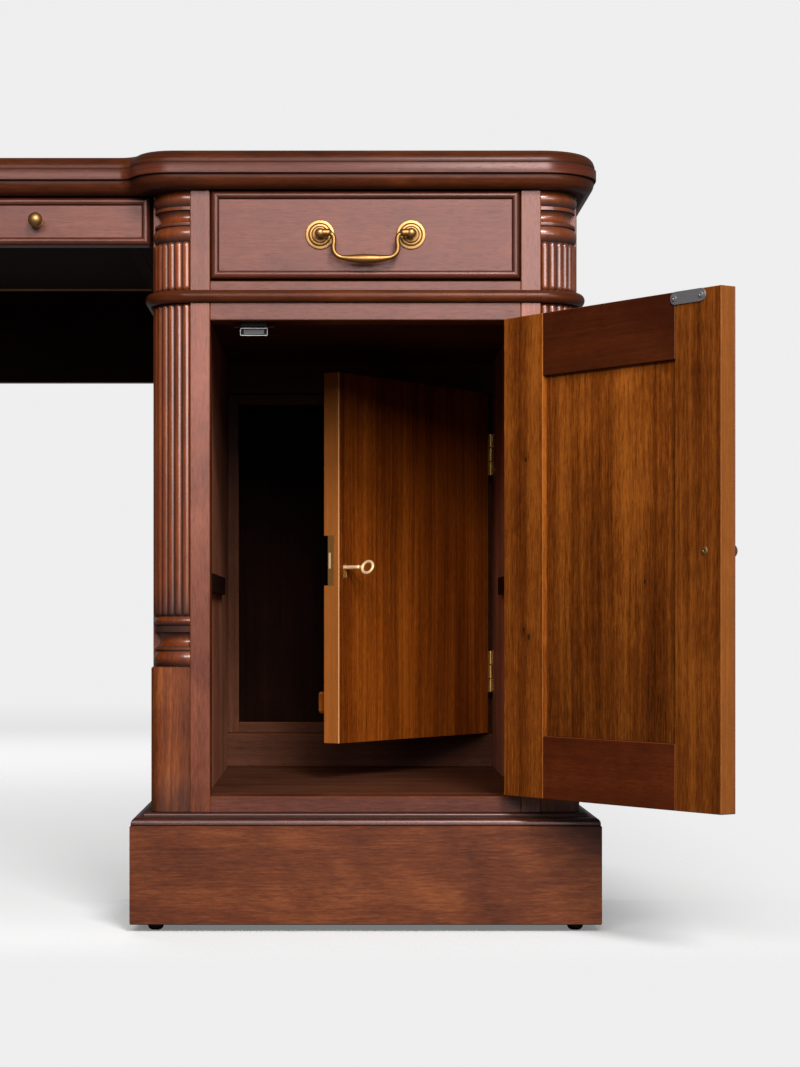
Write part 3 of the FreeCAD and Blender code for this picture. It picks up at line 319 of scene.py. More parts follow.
def tube(path, radius, normal, segments):
    """A round bar along a path in a plane with the normal given, its radius given for each point."""
    path = np.asarray(path, float)
    ahead = np.gradient(path, axis=0)
    ahead /= np.linalg.norm(ahead, axis=1)[:, None]
    normal = np.broadcast_to(np.asarray(normal, float), path.shape)
    side = np.cross(normal, ahead)
    angle = np.linspace(0, TAU, segments, endpoint=False)[None, :, None]
    rim = np.cos(angle) * side[:, None] + np.sin(angle) * normal[:, None]
    return lofted(path[:, None] + np.broadcast_to(radius, len(path))[:, None, None] * rim)


def mitred_ring(profile, half_x, half_y, centre, glaze, plane="xy"):
    """A moulding mitred round a rectangle. Profile rows are (inset, height), as one closed loop.

    Each of the four runs is closed by its own mitre faces, and has its own grain."""
    profile = np.asarray(profile, float)
    glaze = np.tile(np.broadcast_to(glaze, len(profile)), 2)
    corners = np.array([(-1, -1), (1, -1), (1, 1), (-1, 1)], float)
    runs = []
    for k in range(4):
        flat = corners[[k, (k + 1) % 4], None] * (np.array([half_x, half_y]) - profile[:, :1])
        loops = np.concatenate([flat, np.broadcast_to(profile[:, 1:], flat.shape[:2] + (1,))], -1)
        if plane == "xz":
            loops = loops[:, :, [0, 2, 1]]
        loops = loops + centre
        runs.append(outwards(lofted(loops, run_grain(loops), glaze)))
    return join(runs)


# Shader maths


class Wire:
    """A shader socket that can stand in a sum."""

    def __init__(self, paint, socket):
        self.paint = paint
        self.socket = socket

    def math(self, operation, *others):
        values = dict(enumerate((self,) + others))
        return self.paint.add("ShaderNodeMath", {"operation": operation}, values)

    def __add__(self, other):
        return self.math("ADD", other)

    __radd__ = __add__

    def __mul__(self, other):
        return self.math("MULTIPLY", other)

    __rmul__ = __mul__

    def __sub__(self, other):
        return self.math("SUBTRACT", other)

    def __rsub__(self, other):
        return (self * -1) + other

    def __truediv__(self, other):
        return self.math("DIVIDE", other)

    def __pow__(self, other):
        return self.math("POWER", other)

    def between(self, low, high):
        """Zero at low, one at high, and a smooth step between."""
        settings = {"interpolation_type": "SMOOTHSTEP"}
        return self.paint.add("ShaderNodeMapRange", settings, {0: self, 1: low, 2: high})


def set_stops(elements, stops):
    """Give a colour ramp its stops, each a place and a colour."""
    while len(elements) < len(stops):
        elements.new(0.5)
    for element, (place, tint) in zip(elements, stops):
        element.position = place
        element.color = tint


class Paint:
    """The nodes of a material or a world, with one way of adding any node to them."""

    def __init__(self, owner):
        owner.use_nodes = True
        self.owner = owner
        self.tree = owner.node_tree

    def add(self, kind, settings=None, values=None, out=0):
        """A new node's output, or all of them where out is None. Its settings are set before its sockets."""
        node = self.tree.nodes.new(kind)
        for key, value in (settings or {}).items():
            if key == "stops":
                set_stops(node.color_ramp.elements, value)
            else:
                setattr(node, key, value)
        for key, value in (values or {}).items():
            self.put(node.inputs[key], value)
        if out is None:
            return [Wire(self, socket) for socket in node.outputs]
        return Wire(self, node.outputs[out])

    def put(self, socket, value):
        """Link a wire to a socket, or set a plain value on it."""
        if isinstance(value, Wire):
            self.tree.links.new(value.socket, socket)
        else:
            socket.default_value = value

    def finish(self, **values):
        """Fill the surface shader's sockets, with _ for a space in their names, and give the material."""
        for key, value in values.items():
            self.put(self.tree.nodes["Principled BSDF"].inputs[key.replace("_", " ")], value)
        return self.owner

    def attribute(self, name, out="Fac"):
        return self.add("ShaderNodeAttribute", {"attribute_name": name}, out=out)

    def own_place(self):
        return self.add("ShaderNodeTexCoord", out="Object")

    def mapped(self, **values):
        return self.add("ShaderNodeMapping", None, {"Vector": self.own_place(), **values})

    def split(self, vector):
        return self.add("ShaderNodeSeparateXYZ", None, {0: vector}, out=None)

    def vector(self, x, y, z):
        return self.add("ShaderNodeCombineXYZ", None, {0: x, 1: y, 2: z})

    def noise(self, place, scale=1.0, detail=2.0, roughness=0.5, distortion=0.0):
        values = {"Vector": place, "Scale": scale, "Detail": detail}
        values |= {"Roughness": roughness, "Distortion": distortion}
        return self.add("ShaderNodeTexNoise", {"noise_dimensions": "3D"}, values)

    def blend(self, share, first, second, kind="MIX"):
        settings = {"data_type": "RGBA", "blend_type": kind, "clamp_factor": True}
        return self.add("ShaderNodeMix", settings, {0: share, 6: first, 7: second}, out=2)

    def ramp(self, share, stops):
        return self.add("ShaderNodeValToRGB", {"stops": stops}, {0: share})

    def bump(self, height, strength, distance):
        values = {"Strength": strength, "Distance": distance, "Height": height}
        return self.add("ShaderNodeBump", None, values)


def new_paint(name):
    return Paint(bpy.data.materials.new(name))


def colour(red, green, blue):
    """A colour given as it looks on a screen, 0 to 255."""
    def linear(value):
        value /= 255
        return value / 12.92 if value <= 0.04045 else ((value + 0.055) / 1.055) ** 2.4

    return (linear(red), linear(green), linear(blue), 1.0)


def scaled(rgba, factor):
    """A colour made lighter or darker."""
    return tuple(min(1.0, value * factor) for value in rgba[:3]) + (1.0,)


# Finishes

# Near-black brown for painted shade in quirks, grooves and undersides, with some dark antiquing.
GLAZE_AND_SHADE = colour(16, 6, 4)
# Paler edge colour, partly rubbing and partly a painted highlight on chamfers and edge faces.
WORN_AND_LIT = colour(172, 106, 50)
# Painted highlight along the inner door's front corner at its free edge.
ARRIS_HIGHLIGHT = colour(214, 160, 108)
SHEEN = (1.0, 0.74, 0.71, 1.0)


def board_place(p, turned):
    """Places along, across and through a board. A part of the model has no grain places, so it reads its own
    coordinates, turned back by the angle of its door, with the grain upright."""
    if turned is None:
        return p.split(p.attribute("grain", "Vector"))
    angle, corner = turned
    x, y, z = p.split(p.mapped(Rotation=(0, 0, -angle), Location=(-corner[0] * MM, -corner[1] * MM, 0)))
    return z, x, y


def knot_shade(a, b, knots):
    """Small knots: dark where the distance from a heart, shortened along the grain, is under its radius."""
    shorter, halo_reach = 0.55, 3.2
    shade = 0.0
    for along, over, radius in knots:
        along, over = (a - along * MM) * shorter, b - over * MM
        far = (along * along + over * over) ** 0.5
        heart = 1 - far.between(0.3 * radius * MM, radius * MM)
        halo = 1 - far.between(radius * MM, halo_reach * radius * MM)
        shade = heart * 0.6 + halo * 0.22 + shade
    return shade


def wood(name, deep, middle, pale, ribbon, fibre, pores, roughness, shine, mottle, tone, wear=0.12, knots=(),
         turned=None, coat=0.0):
    """Polished wood whose figure runs along each board.

    Broad ribbons, narrow stripes and fine fibres are noises stretched along the grain. Mottle crosses it in
    soft clouds, and short dark pores lie on top. Painted shade darkens the quirks, grooves and undersides,
    with some dark antiquing at the columns' feet. Chamfered edges are paler, partly as rubbing and partly as
    a painted highlight. On a turned part, whose corner is the origin, the free edge face is paler as painted
    light, a painted highlight runs along its front corner, and painted light makes the wood paler towards
    the hinge."""
    p = new_paint(name)
    a, b, c = board_place(p, turned)
    worn_and_lit = p.attribute("wear")
    glaze = p.attribute("glaze")
    arris_highlight = 0.0
    lighter = 1.0
    # Painted light on the inner door: its free edge face paler, a painted highlight on the front corner, and
    # the wood paler towards the hinge.
    if turned:
        worn_and_lit = 1 - b.between(0.0002, 0.0012)
        arris_highlight = worn_and_lit * (1 - c.between(0.0006, 0.0013)) * 0.8
        lighter = 1 + b.between(0.1, 0.3) * 0.6
    wander = p.noise(p.vector(a * 3, b * 7, c * 7)) - 0.5
    b = b + wander * 0.016

    def streaks(along, over, detail, rough=0.5):
        """Noise with so many waves to a metre along the grain and across it."""
        return p.noise(p.vector(a * along, b * over, c * over), detail=detail, roughness=rough)

    broad = streaks(1.1, 21, 2)
    narrow = streaks(2.2, 165, 4, 0.65)
    fine = streaks(64, 620, 4, 0.75)
    cloud_place = p.vector(a * 10 + b * 9, b * 13 - a * 4, c * 9)
    cloud = p.noise(cloud_place, detail=3, roughness=0.55, distortion=0.6)
    figure = broad * (0.9 * ribbon) + narrow * (0.8 * ribbon) + fine * (0.6 * fibre) + cloud * (0.6 * mottle)
    middle_value = 0.85 * ribbon + 0.3 * fibre + 0.3 * mottle
    share = (figure - middle_value) * 2.7 + 0.5
    tint = p.ramp(share, [(0.08, colour(*deep)), (0.5, colour(*middle)), (0.92, colour(*pale))])
    pore = streaks(110, 900, 1).between(0.58, 0.70) * pores
    shade = (1 - pore * 0.5) * (1 + p.attribute("tone") * tone) * lighter
    if knots:
        shade = shade * (1 - knot_shade(a, b, knots))
    tint = p.blend(1.0, tint, p.vector(shade, shade, shade), "MULTIPLY")
    # Chamfers and edge faces turn paler: partly rubbing, partly a painted highlight.
    tint = p.blend(worn_and_lit * wear, tint, WORN_AND_LIT)
    tint = p.blend(arris_highlight, tint, ARRIS_HIGHLIGHT)
    # Painted shade: quirks, grooves and undersides darken towards the near-black brown.
    tint = p.blend(glaze, tint, GLAZE_AND_SHADE)
    rough = fine * 0.12 + pore * 0.2 + glaze * 0.6 + (roughness - 0.06)
    surface = p.bump(fine * 0.3 - pore, 0.12, 0.0004)
    gloss = (1 - glaze) * coat if coat else 0.0
    return p.finish(Base_Color=tint, Roughness=rough, Normal=surface, Specular_IOR_Level=shine,
                    Specular_Tint=SHEEN, Coat_Weight=gloss, Coat_Roughness=0.2)


def brass(name, bright, dull, roughness, film, metal=1.0):
    """Satin brass with a brownish film in soft clouds, darker in hollows and gaps, partly as film and partly
    as painted shade. A dulled part mirrors less.
    """
    p = new_paint(name)
    place = p.own_place()
    cloud = p.noise(place, 190.0, 4.0, 0.6)
    scratch = p.noise(place, 1400.0, 3.0, 0.6)
    darker = (cloud.between(0.45, 0.8) * film + p.attribute("glaze") * 0.9).math("MINIMUM", 1.0)
    tint = p.blend(darker, colour(*bright), colour(*dull))
    rough = darker * 0.15 + scratch * 0.12 + (roughness - 0.06)
    surface = p.bump(scratch, 0.05, 0.0002)
    return p.finish(Base_Color=tint, Metallic=metal, Roughness=rough, Normal=surface)


def plain_metal(name, tint, roughness, metal=1.0):
    """Plated steel, finely brushed: noise stretched along the brushing. A dulled plate mirrors less."""
    p = new_paint(name)
    brushed = p.noise(p.mapped(Scale=(60, 60, 1800)), detail=3.0)
    shade = p.blend(brushed, scaled(colour(*tint), 0.8), scaled(colour(*tint), 1.1))
    return p.finish(Base_Color=shade, Metallic=metal, Roughness=brushed * 0.2 + roughness)


def moulded_plastic(name, tint):
    """Black plastic with a fine speckle in its colour, gloss and surface."""
    p = new_paint(name)
    speck = p.noise(p.own_place(), 900.0)
    shade = p.blend(speck, colour(*tint), scaled(colour(*tint), 1.6))
    return p.finish(Base_Color=shade, Roughness=speck * 0.15 + 0.45, Normal=p.bump(speck, 0.1, 0.0002))


FACE_WOOD = wood("face_wood", (58, 23, 14), (88, 41, 26), (118, 61, 42), ribbon=0.22, fibre=0.7, pores=0.45,
                 roughness=0.34, shine=0.55, mottle=0.45, tone=0.10)
# Stile wood is glossier than the face wood, and its paler colours are painted light.
STILE_WOOD = wood("stile_wood", (66, 26, 14), (98, 47, 28), (128, 68, 44), ribbon=0.25, fibre=0.6, pores=0.4,
                  roughness=0.28, shine=0.66, mottle=0.6, tone=0.10)
MOULDED = dict(ribbon=0.4, fibre=0.6, pores=0.3, roughness=0.3, tone=0.06)
MOULDING_WOOD = wood("moulding_wood", (48, 19, 7), (72, 32, 13), (98, 48, 22), shine=0.22, mottle=0.6,
                     **MOULDED)
CAP_WOOD = wood("cap_wood", (38, 14, 8), (54, 21, 11), (70, 31, 17), shine=0.55, mottle=0.6, **MOULDED)
BEAD_TINTS = ((50, 19, 10), (72, 32, 19), (94, 46, 30))
BEAD_WOOD = wood("bead_wood", *BEAD_TINTS, shine=0.5, mottle=0.5, **MOULDED)
BAND_WOOD = wood("band_wood", *BEAD_TINTS, shine=0.28, mottle=0.5, **MOULDED)
COLUMN_WOOD = wood("column_wood", (78, 29, 6), (114, 50, 12), (146, 70, 21), ribbon=0.4, fibre=0.7, pores=0.3,
                   roughness=0.3, shine=0.6, mottle=0.5, tone=0.06, coat=1.0)
PLINTH_WOOD = wood("plinth_wood", (62, 26, 12), (90, 43, 20), (118, 63, 31), ribbon=0.22, fibre=0.9,
                   pores=0.35, roughness=0.42, shine=0.3, mottle=0.8, tone=0.05)
BLOCK_WOOD = wood("block_wood", (64, 26, 9), (106, 51, 21), (146, 82, 40), ribbon=0.7, fibre=0.6, pores=0.25,
                  roughness=0.34, shine=0.4, mottle=0.6, tone=0.05)
DOOR_KNOTS = ((95.0, -5.0, 2.2), (-72.0, -2.0, 2.0), (-79.0, -9.6, 2.6))
DOOR_WOOD = wood("door_wood", (62, 24, 3), (104, 50, 11), (144, 78, 24), ribbon=0.5, fibre=0.8, pores=0.5,
                 roughness=0.45, shine=0.1, mottle=0.3, tone=0.12, wear=0.3, knots=DOOR_KNOTS)
PANEL_KNOTS = ((-27.0, -46.0, 1.8), (84.0, -90.0, 1.6))
PANEL_WOOD = wood("panel_wood", (62, 25, 3), (102, 49, 10), (142, 77, 23), ribbon=0.5, fibre=0.9, pores=0.6,
                  roughness=0.45, shine=0.1, mottle=0.35, tone=0.20, knots=PANEL_KNOTS)
RAIL_WOOD = wood("rail_wood", (46, 15, 4), (68, 26, 8), (90, 40, 14), ribbon=0.25, fibre=0.4, pores=0.3,
                 roughness=0.4, shine=0.14, mottle=0.6, tone=0.16)
INNER_WOOD = wood("inner_wood", (82, 34, 5), (116, 54, 10), (150, 77, 20), ribbon=0.8, fibre=0.9, pores=0.5,
                  roughness=0.45, shine=0.1, mottle=0.15, tone=0.0, wear=0.45,
                  turned=(INNER_ANGLE, INNER_CORNER))
# Painted light: the linings are far paler than the other inside wood, standing in for light that falls into
# the cupboard.
LIT_LINING_WOOD = wood("lit_lining_wood", (120, 69, 50), (156, 97, 72), (186, 124, 96), ribbon=0.4, fibre=0.7,
                   pores=0.4, roughness=0.5, shine=0.15, mottle=0.5, tone=0.08)
INSIDE_WOOD = wood("inside_wood", (48, 24, 14), (72, 40, 26), (92, 54, 36), ribbon=0.4, fibre=0.6, pores=0.4,
                   roughness=0.55, shine=0.12, mottle=0.5, tone=0.08)
# Painted shade: near-black wood for parts and sheets that stand where only shade falls.
PAINTED_SHADE_WOOD = wood("painted_shade_wood", (22, 10, 7), (34, 17, 12), (46, 24, 17), ribbon=0.4, fibre=0.5, pores=0.4,
                  roughness=0.7, shine=0.06, mottle=0.5, tone=0.08)
DRAWER_WOOD = wood("drawer_wood", (128, 88, 52), (160, 118, 76), (186, 146, 102), ribbon=0.5, fibre=0.6,
                   pores=0.4, roughness=0.6, shine=0.2, mottle=0.5, tone=0.08)
AGED_BRASS = brass("aged_brass", (176, 134, 84), (116, 82, 44), roughness=0.46, film=0.35)
BAIL_BRASS = brass("bail_brass", (154, 114, 66), (102, 71, 37), roughness=0.42, film=0.35)
BRIGHT_BRASS = brass("bright_brass", (238, 192, 112), (150, 106, 50), roughness=0.5, film=0.3)
KEY_BRASS = brass("key_brass", (244, 206, 156), (204, 158, 106), roughness=0.5, film=0.3, metal=0.55)
LOCK_BRASS = brass("lock_brass", (176, 134, 76), (120, 86, 44), roughness=0.6, film=0.5)
NICKEL = plain_metal("nickel", (150, 148, 146), roughness=0.3)
STRIKE_STEEL = plain_metal("strike_steel", (128, 126, 128), roughness=0.25, metal=0.6)
MAGNET_GREY = plain_metal("magnet_grey", (92, 92, 94), roughness=0.5, metal=0.6)
# Dark steel, made darker still as painted shade under the lintel.
DARK_STEEL_AND_SHADE = plain_metal("dark_steel_and_shade", (16, 14, 14), roughness=0.6, metal=0.4)
GLIDE_BLACK = moulded_plastic("glide_black", (12, 12, 12))


# Pieces


SMOOTH = 35.0


def make_piece(name, skins, material, node, body, smooth):
    """Join skins into one mesh, attach it to its body, and hide the model's part that it stands in for. Edges
    that bend by more than smooth stay sharp.
    """
    skin = join(skins)
    mesh = bpy.data.meshes.new(name)
    mesh.from_pydata((skin.points * MM).tolist(), [], skin.faces)
    grain = mesh.attributes.new("grain", "FLOAT_VECTOR", "POINT")
    grain.data.foreach_set("vector", (skin.grain * MM).ravel())
    for part, domain in (("tone", "POINT"), ("glaze", "POINT"), ("wear", "FACE")):
        mesh.attributes.new(part, "FLOAT", domain).data.foreach_set("value", getattr(skin, part))
    mesh.polygons.foreach_set("use_smooth", np.ones(len(mesh.polygons), bool))
    mesh.set_sharp_from_angle(angle=math.radians(smooth))
    mesh.materials.append(material)
    mesh.validate()
    piece = bpy.data.objects.new(name, mesh)
    bpy.context.scene.collection.objects.link(piece)
    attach(piece, body)
    if node:
        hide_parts(node)


def wood_piece(name, skins, material, node=None, body="desk", smooth=SMOOTH):
    make_piece(name, skins, material, node, body, smooth)


def metal_piece(name, skins, material, node=None, body="desk"):
    make_piece(name, skins, material, node, body, SMOOTH)


# Desk top and the moulding under it

TOP_CORNER = NOTCH + OVERHANG
SETBACK = 39.5
OGEE_START = 335.0
OGEE_ROUND = 46.0
OGEE_HOLLOW = 13.4
SEAM = 40.0


def top_outline(inset):
    """The desk's outline drawn in by an inset, anticlockwise from above, as [point, xy].

    The right half goes along the set-back front, through a hollow arc into a round one (an ogee whose two
    arcs turn by the same angle), along the front, round the outer corner and down the end. The rest are its
    mirrors."""
    arc_count, run_count = 15, 5
    turn = math.acos(1 - SETBACK / (OGEE_ROUND + OGEE_HOLLOW))
    hollow, round_out, corner = OGEE_HOLLOW + inset, OGEE_ROUND - inset, TOP_CORNER - inset
    start_x = OGEE_START - (OGEE_ROUND + OGEE_HOLLOW) * math.sin(turn)
    setback_y, front_y = -(TOP_Y - SETBACK - inset), -(TOP_Y - inset)
    bend = np.linspace(0, turn, arc_count // 2)
    into = np.column_stack([start_x + hollow * np.sin(bend), setback_y - hollow * (1 - np.cos(bend))])
    out = np.column_stack([OGEE_START - round_out * np.sin(bend), front_y + round_out * (1 - np.cos(bend))])
    outer = curve((TOP_X - TOP_CORNER, TOP_CORNER - TOP_Y), (corner, corner), arc(270, 360, arc_count))
    setback = np.column_stack([np.linspace(0, start_x, run_count)[:-1], np.full(run_count - 1, setback_y)])
    quarter = np.vstack([setback, into, out[::-1][1:], outer])
    right = np.vstack([quarter, (quarter * (1, -1))[::-1]])
    left = (right * (-1, 1))[::-1]
    return np.vstack([right[:-1], left[:-1]])


def outline_run(profile, glaze):
    """A moulding carried round the desk's outline. Profile rows are (inset, level), as one closed loop."""
    flat = np.stack([top_outline(inset) for inset, _ in profile])
    rows, columns = flat.shape[:2]
    levels = np.array([level for _, level in profile])[:, None, None]
    points = np.concatenate([flat, np.broadcast_to(levels, (rows, columns, 1))], -1)
    along = np.broadcast_to(lengths_along(points[0]), (rows, columns))
    section = np.broadcast_to(lengths_along(points[:, 0])[:, None], (rows, columns))
    grain = np.stack([along, section, np.zeros_like(along)], -1) + new_offset()
    faces = grid_faces(rows, columns, wrap_rows=True, wrap_columns=True)
    return outwards(Skin(points, faces, grain, 0.0, np.repeat(glaze, columns)))


def flat_sheet(inset, level, upwards):
    """The flat inside the moulding: strips from each front point of the outline to its rear image."""
    outline = top_outline(inset)
    front = outline[outline[:, 1] < -1.0]
    front = front[np.argsort(front[:, 0], kind="stable")]
    share = np.linspace(0, 1, 4)
    y = front[:, None, 1] * (1 - 2 * share[None])
    points = np.stack([np.broadcast_to(front[:, None, 0], y.shape), y, np.full_like(y, level)], -1)
    faces = grid_faces(len(front), len(share))
    faces = faces if upwards else [face[::-1] for face in faces]
    return Skin(points, faces, points.reshape(-1, 3) + new_offset())


def desk_top():
    """An upright edge band, and a quarter-round crown set back from it by a quirk, with the flats inside."""
    crown = [(SEAM, QUIRK), (1.3, QUIRK)] + curve((12.4, QUIRK + 0.7), (-11.0, 12.3), arc(0, 90, 9))
    crown += [(SEAM, TOP)]
    # Painted shade in the quirk under the crown.
    skins = [outline_run(crown, spots(len(crown), {1: 0.9, 2: 0.5})), flat_sheet(SEAM, TOP, True)]
    wood_piece("moulded_desk_top", skins, MOULDING_WOOD, "desk_top")
    band = [(SEAM, BOARD), (0.6, BOARD), (0.0, BOARD + 0.6), (0.0, QUIRK - 1.0), (0.4, QUIRK - 0.3),
            (1.3, QUIRK), (SEAM, QUIRK)]
    # Painted shade along the band's lower edge and in the quirk above it.
    skins = [outline_run(band, spots(len(band), {1: 0.7, 4: 0.3, 5: 0.9})), flat_sheet(SEAM, BOARD, False)]
    wood_piece("desk_top_edge_band", skins, BAND_WOOD)


def frame_moulding():
    """A quarter-round that falls from just under the edge band in to the carcass."""
    profile = [(SEAM, BOARD), (4.0, BOARD), (2.5, BOARD - 0.8)]
    profile += curve((13.5, BOARD - 3.0), (-11.0, -11.0), arc(0, 90, 9)) + [(SEAM, CARCASS)]
    # Painted shade in the quirk under the band and where the moulding meets the carcass.
    glaze = spots(len(profile), {1: 1.0, 2: 0.8, -3: 0.2, -2: 0.5, -1: 0.8})
    wood_piece("moulding_under_top", [outline_run(profile, glaze)], MOULDING_WOOD, "top_frame_moulding")


# Plinths and the mouldings round the pedestals

PLINTH_BOARD = 22.0
PLINTH_BLOCK = 35.0


def plinth(side, name):
    """Four boards mitred round the pedestal, and an upright block inside each corner."""
    inside = PLINTH_BOARD
    profile = [(0.9, GLIDE_TOP), (0, GLIDE_TOP + 0.9), (0, CAP - 0.7), (0.7, CAP), (inside, CAP),
               (inside, GLIDE_TOP)]
    # Painted shade along the plinth's foot and under the cap.
    glaze = spots(len(profile), {0: 0.5, 3: 0.5})
    skins = [mitred_ring(profile, PLINTH_X, TOP_Y, (PEDESTAL_X * side, 0, 0), glaze)]
    for u in pair(PLINTH_X - inside - PLINTH_BLOCK, PLINTH_X - inside):
        for y in pair(TOP_Y - inside - PLINTH_BLOCK, TOP_Y - inside):
            skins.append(board(across(side, *u), y, (GLIDE_TOP, CAP), "z"))
    wood_piece(f"{name}_plinth_boards", skins, PLINTH_WOOD, f"{name}_plinth")


def plinth_caps():
    """A quarter-round above a small quirk, and a second, smaller one set back from it."""
    inside = 79.5
    profile = [(2.2, CAP), (1.0, CAP + 0.9)]
    profile += curve((7.0, CAP + 2.0), (-6.0, 6.0), arc(0, 90, 7)) + [(13.2, CAP + 8.0)]
    profile += curve((16.0, BASE - 2.5), (-2.5, 2.5), arc(0, 90, 5)) + [(inside, BASE), (inside, CAP)]
    # Painted shade in the quirks of the cap moulding.
    glaze = spots(len(profile), {0: 0.9, 1: 0.3, 9: 0.9, 10: 0.7, 13: 0.4, 14: 0.7})
    skins = [mitred_ring(profile, PLINTH_X, TOP_Y, (PEDESTAL_X * side, 0, 0), glaze) for side in SIDES]
    wood_piece("plinth_cap_mouldings", skins, CAP_WOOD, "plinth_caps")


def waist_moulding(side):
    """A half-round bead carried round a rectangle with round corners."""
    middle = (WAIST + WAIST_TOP) / 2
    profile = [(-12.0, WAIST), (0.8, WAIST)] + curve((1.7, middle), (6.3, 6.45), arc(-90, 90, 11))
    profile = np.array(profile + [(0.8, WAIST_TOP), (-12.0, WAIST_TOP)])
    inner_x, inner_y = HALF_PEDESTAL - NOTCH, HALF_DEPTH - NOTCH
    path, normal = [], []
    for x, y, start in ((1, -1, 270), (1, 1, 0), (-1, 1, 90), (-1, -1, 180)):
        angle = arc(start, start + 90, 13)
        normal.append(np.column_stack([np.cos(angle), np.sin(angle)]))
        path.append(np.array([inner_x * x, inner_y * y]) + NOTCH * normal[-1])
    path, normal = np.vstack(path), np.vstack(normal)
    flat = path[:, None] + normal[:, None] * profile[None, :, :1]
    loops = np.concatenate([flat, np.broadcast_to(profile[:, 1:], flat.shape[:2] + (1,))], -1)
    loops[:, :, 0] += PEDESTAL_X * side
    loops = np.concatenate([loops, loops[:1]])
    rows, columns = loops.shape[:2]
    # Painted shade where the bead meets the body.
    glaze = spots(columns, {1: 1.0, 2: 0.6, -3: 0.6, -2: 1.0})
    faces = grid_faces(rows, columns, wrap_columns=True)
    return outwards(Skin(loops, faces, run_grain(loops), 0.0, np.tile(glaze, rows)))


# Carcass boards

RUNNER_IN = 145.0
RUNNER_LENGTH = 480.0
SHELF_DEPTH = 310.0
SHELF_HALF = 159.5


def carcass():
    """The boards of both pedestals, each kind in its own piece: rows of places across, along and up, and
    of a tone where it is given. On the front stiles, bottom rail and lintel that tone is painted light and
    shade."""
    panel_levels = [(REAR_RAIL, LINTEL), (DRAWER, TOP_RAIL)]
    rail_levels = [(BASE, REAR_RAIL), (LINTEL, DRAWER), (TOP_RAIL, CARCASS)]
    ends = (False, True)
    opening, inside = (-OPENING, OPENING), (-LINING_IN, LINING_IN)
    whole_depth = (FRAME_FRONT, FRAME_REAR)
    side_depth = (FRAME_FRONT + STILE, FRAME_REAR - STILE)
    upright = (BASE, CARCASS)
    split = WAIST + 6
    # Painted light: below the waist the stile grows paler towards its top, where sheen falls; above the waist
    # it is darker, as painted shade under the top's overhang.
    stile_parts = [((BASE, split), (-0.9, 2.0)), ((split, CARCASS), (-1.6, -2.4))]
    # Painted shade: the front bottom rail and the lintel are darkened.
    front_rails = [((BASE, FLOOR), -2.0), ((LINTEL, DRAWER), -2.2)]
    runners = [(RUNNER_IN, (DUST_TOP, DRAWER)), (OPENING, (DRAWER, DRAWER + 20))]
    kinds = {
        "face_stiles": (STILE_WOOD, "z", [
            (u, depth(0, NOTCH, rear), z, tone)
            for rear in ends for u in pair(OPENING, LINING_OUT) for z, tone in stile_parts]),
        "face_rails": (FACE_WOOD, "x", [
            (opening, depth(0, NOTCH), z, tone) for z, tone in front_rails] + [
            (opening, depth(0, NOTCH, True), z, 0) for z in rail_levels]),
        "side_stiles": (FACE_WOOD, "z", [
            (u, depth(NOTCH, NOTCH + STILE, rear), upright)
            for u in pair(LINING_OUT, HALF_PEDESTAL) for rear in ends]),
        "side_rails": (FACE_WOOD, "y", [
            (u, side_depth, z) for u in pair(SIDE_IN, HALF_PEDESTAL) for z in rail_levels]),
        "side_panels": (FACE_WOOD, "z", [
            (u, side_depth, z) for u in pair(SIDE_IN, SIDE_PANEL) for z in panel_levels]),
        "back_panels": (FACE_WOOD, "z", [(opening, depth(8, 19, True), z) for z in panel_levels]),
        "linings": (LIT_LINING_WOOD, "z", [(u, whole_depth, upright) for u in pair(LINING_IN, LINING_OUT)]),
        "cupboard_floors": (INSIDE_WOOD, "x", [(inside, whole_depth, (FLOOR - 12, FLOOR))]),
        "dust_boards": (INSIDE_WOOD, "x", [(inside, whole_depth, (DUST, DUST_TOP))]),
        "drawer_runners": (INSIDE_WOOD, "y", [
            (u, (FRAME_FRONT, FRAME_FRONT + RUNNER_LENGTH), z)
            for low, z in runners for u in pair(low, LINING_IN)]),
        # Painted shade: the shelf cleats take the near-black shade wood.
        "shelf_cleats": (PAINTED_SHADE_WOOD, "y", [
            (u, (FRAME_FRONT, FRAME_FRONT + SHELF_DEPTH), (SHELF - 20, SHELF))
            for u in pair(OPENING, LINING_IN)]),
    }
    hidden = {"linings", "cupboard_floors", "dust_boards", "drawer_runners", "shelf_cleats", "back_panels"}
    for node, (material, grain, rows) in kinds.items():
        skins = [board(across(side, *u), y, z, grain, 0.8, *tone)
                 for side in SIDES for u, y, z, *tone in rows]
        slot = "inside_wood" if node in hidden else "polished_wood"
        wood_piece(f"{node}_boards", skins, material, node)
    # Painted shade: a dark sheet in front of each back panel, inside the cupboard and behind the drawer.
    shade_sheets = [board(across(side, *opening), depth(19, 22, True), z, "z", 0.2)
              for side in SIDES for z in panel_levels]
    wood_piece("back_panel_shade_sheets", shade_sheets, PAINTED_SHADE_WOOD)
    shelf = board(across(-1, -SHELF_HALF, SHELF_HALF), (FRAME_FRONT, FRAME_FRONT + SHELF_DEPTH),
                  (SHELF, SHELF + 18), "x", 1.2)
    wood_piece("left_shelf_board", [shelf], INSIDE_WOOD, "left_shelf")


# Reeded columns

REEDS = 7
REED_POINTS = 9
COLUMN = 39.0
GROOVE = 36.4
UPPER_RINGS = (16.0, 3.2, 12.6, 3.2, 16.0)
LOWER_RINGS = (16.5, 3.0, 15.5, 6.0, 10.0)
RING_STACK = 51.0
CORNERS = ((1, 1, 0), (-1, 1, 1), (-1, -1, 2), (1, -1, 3))


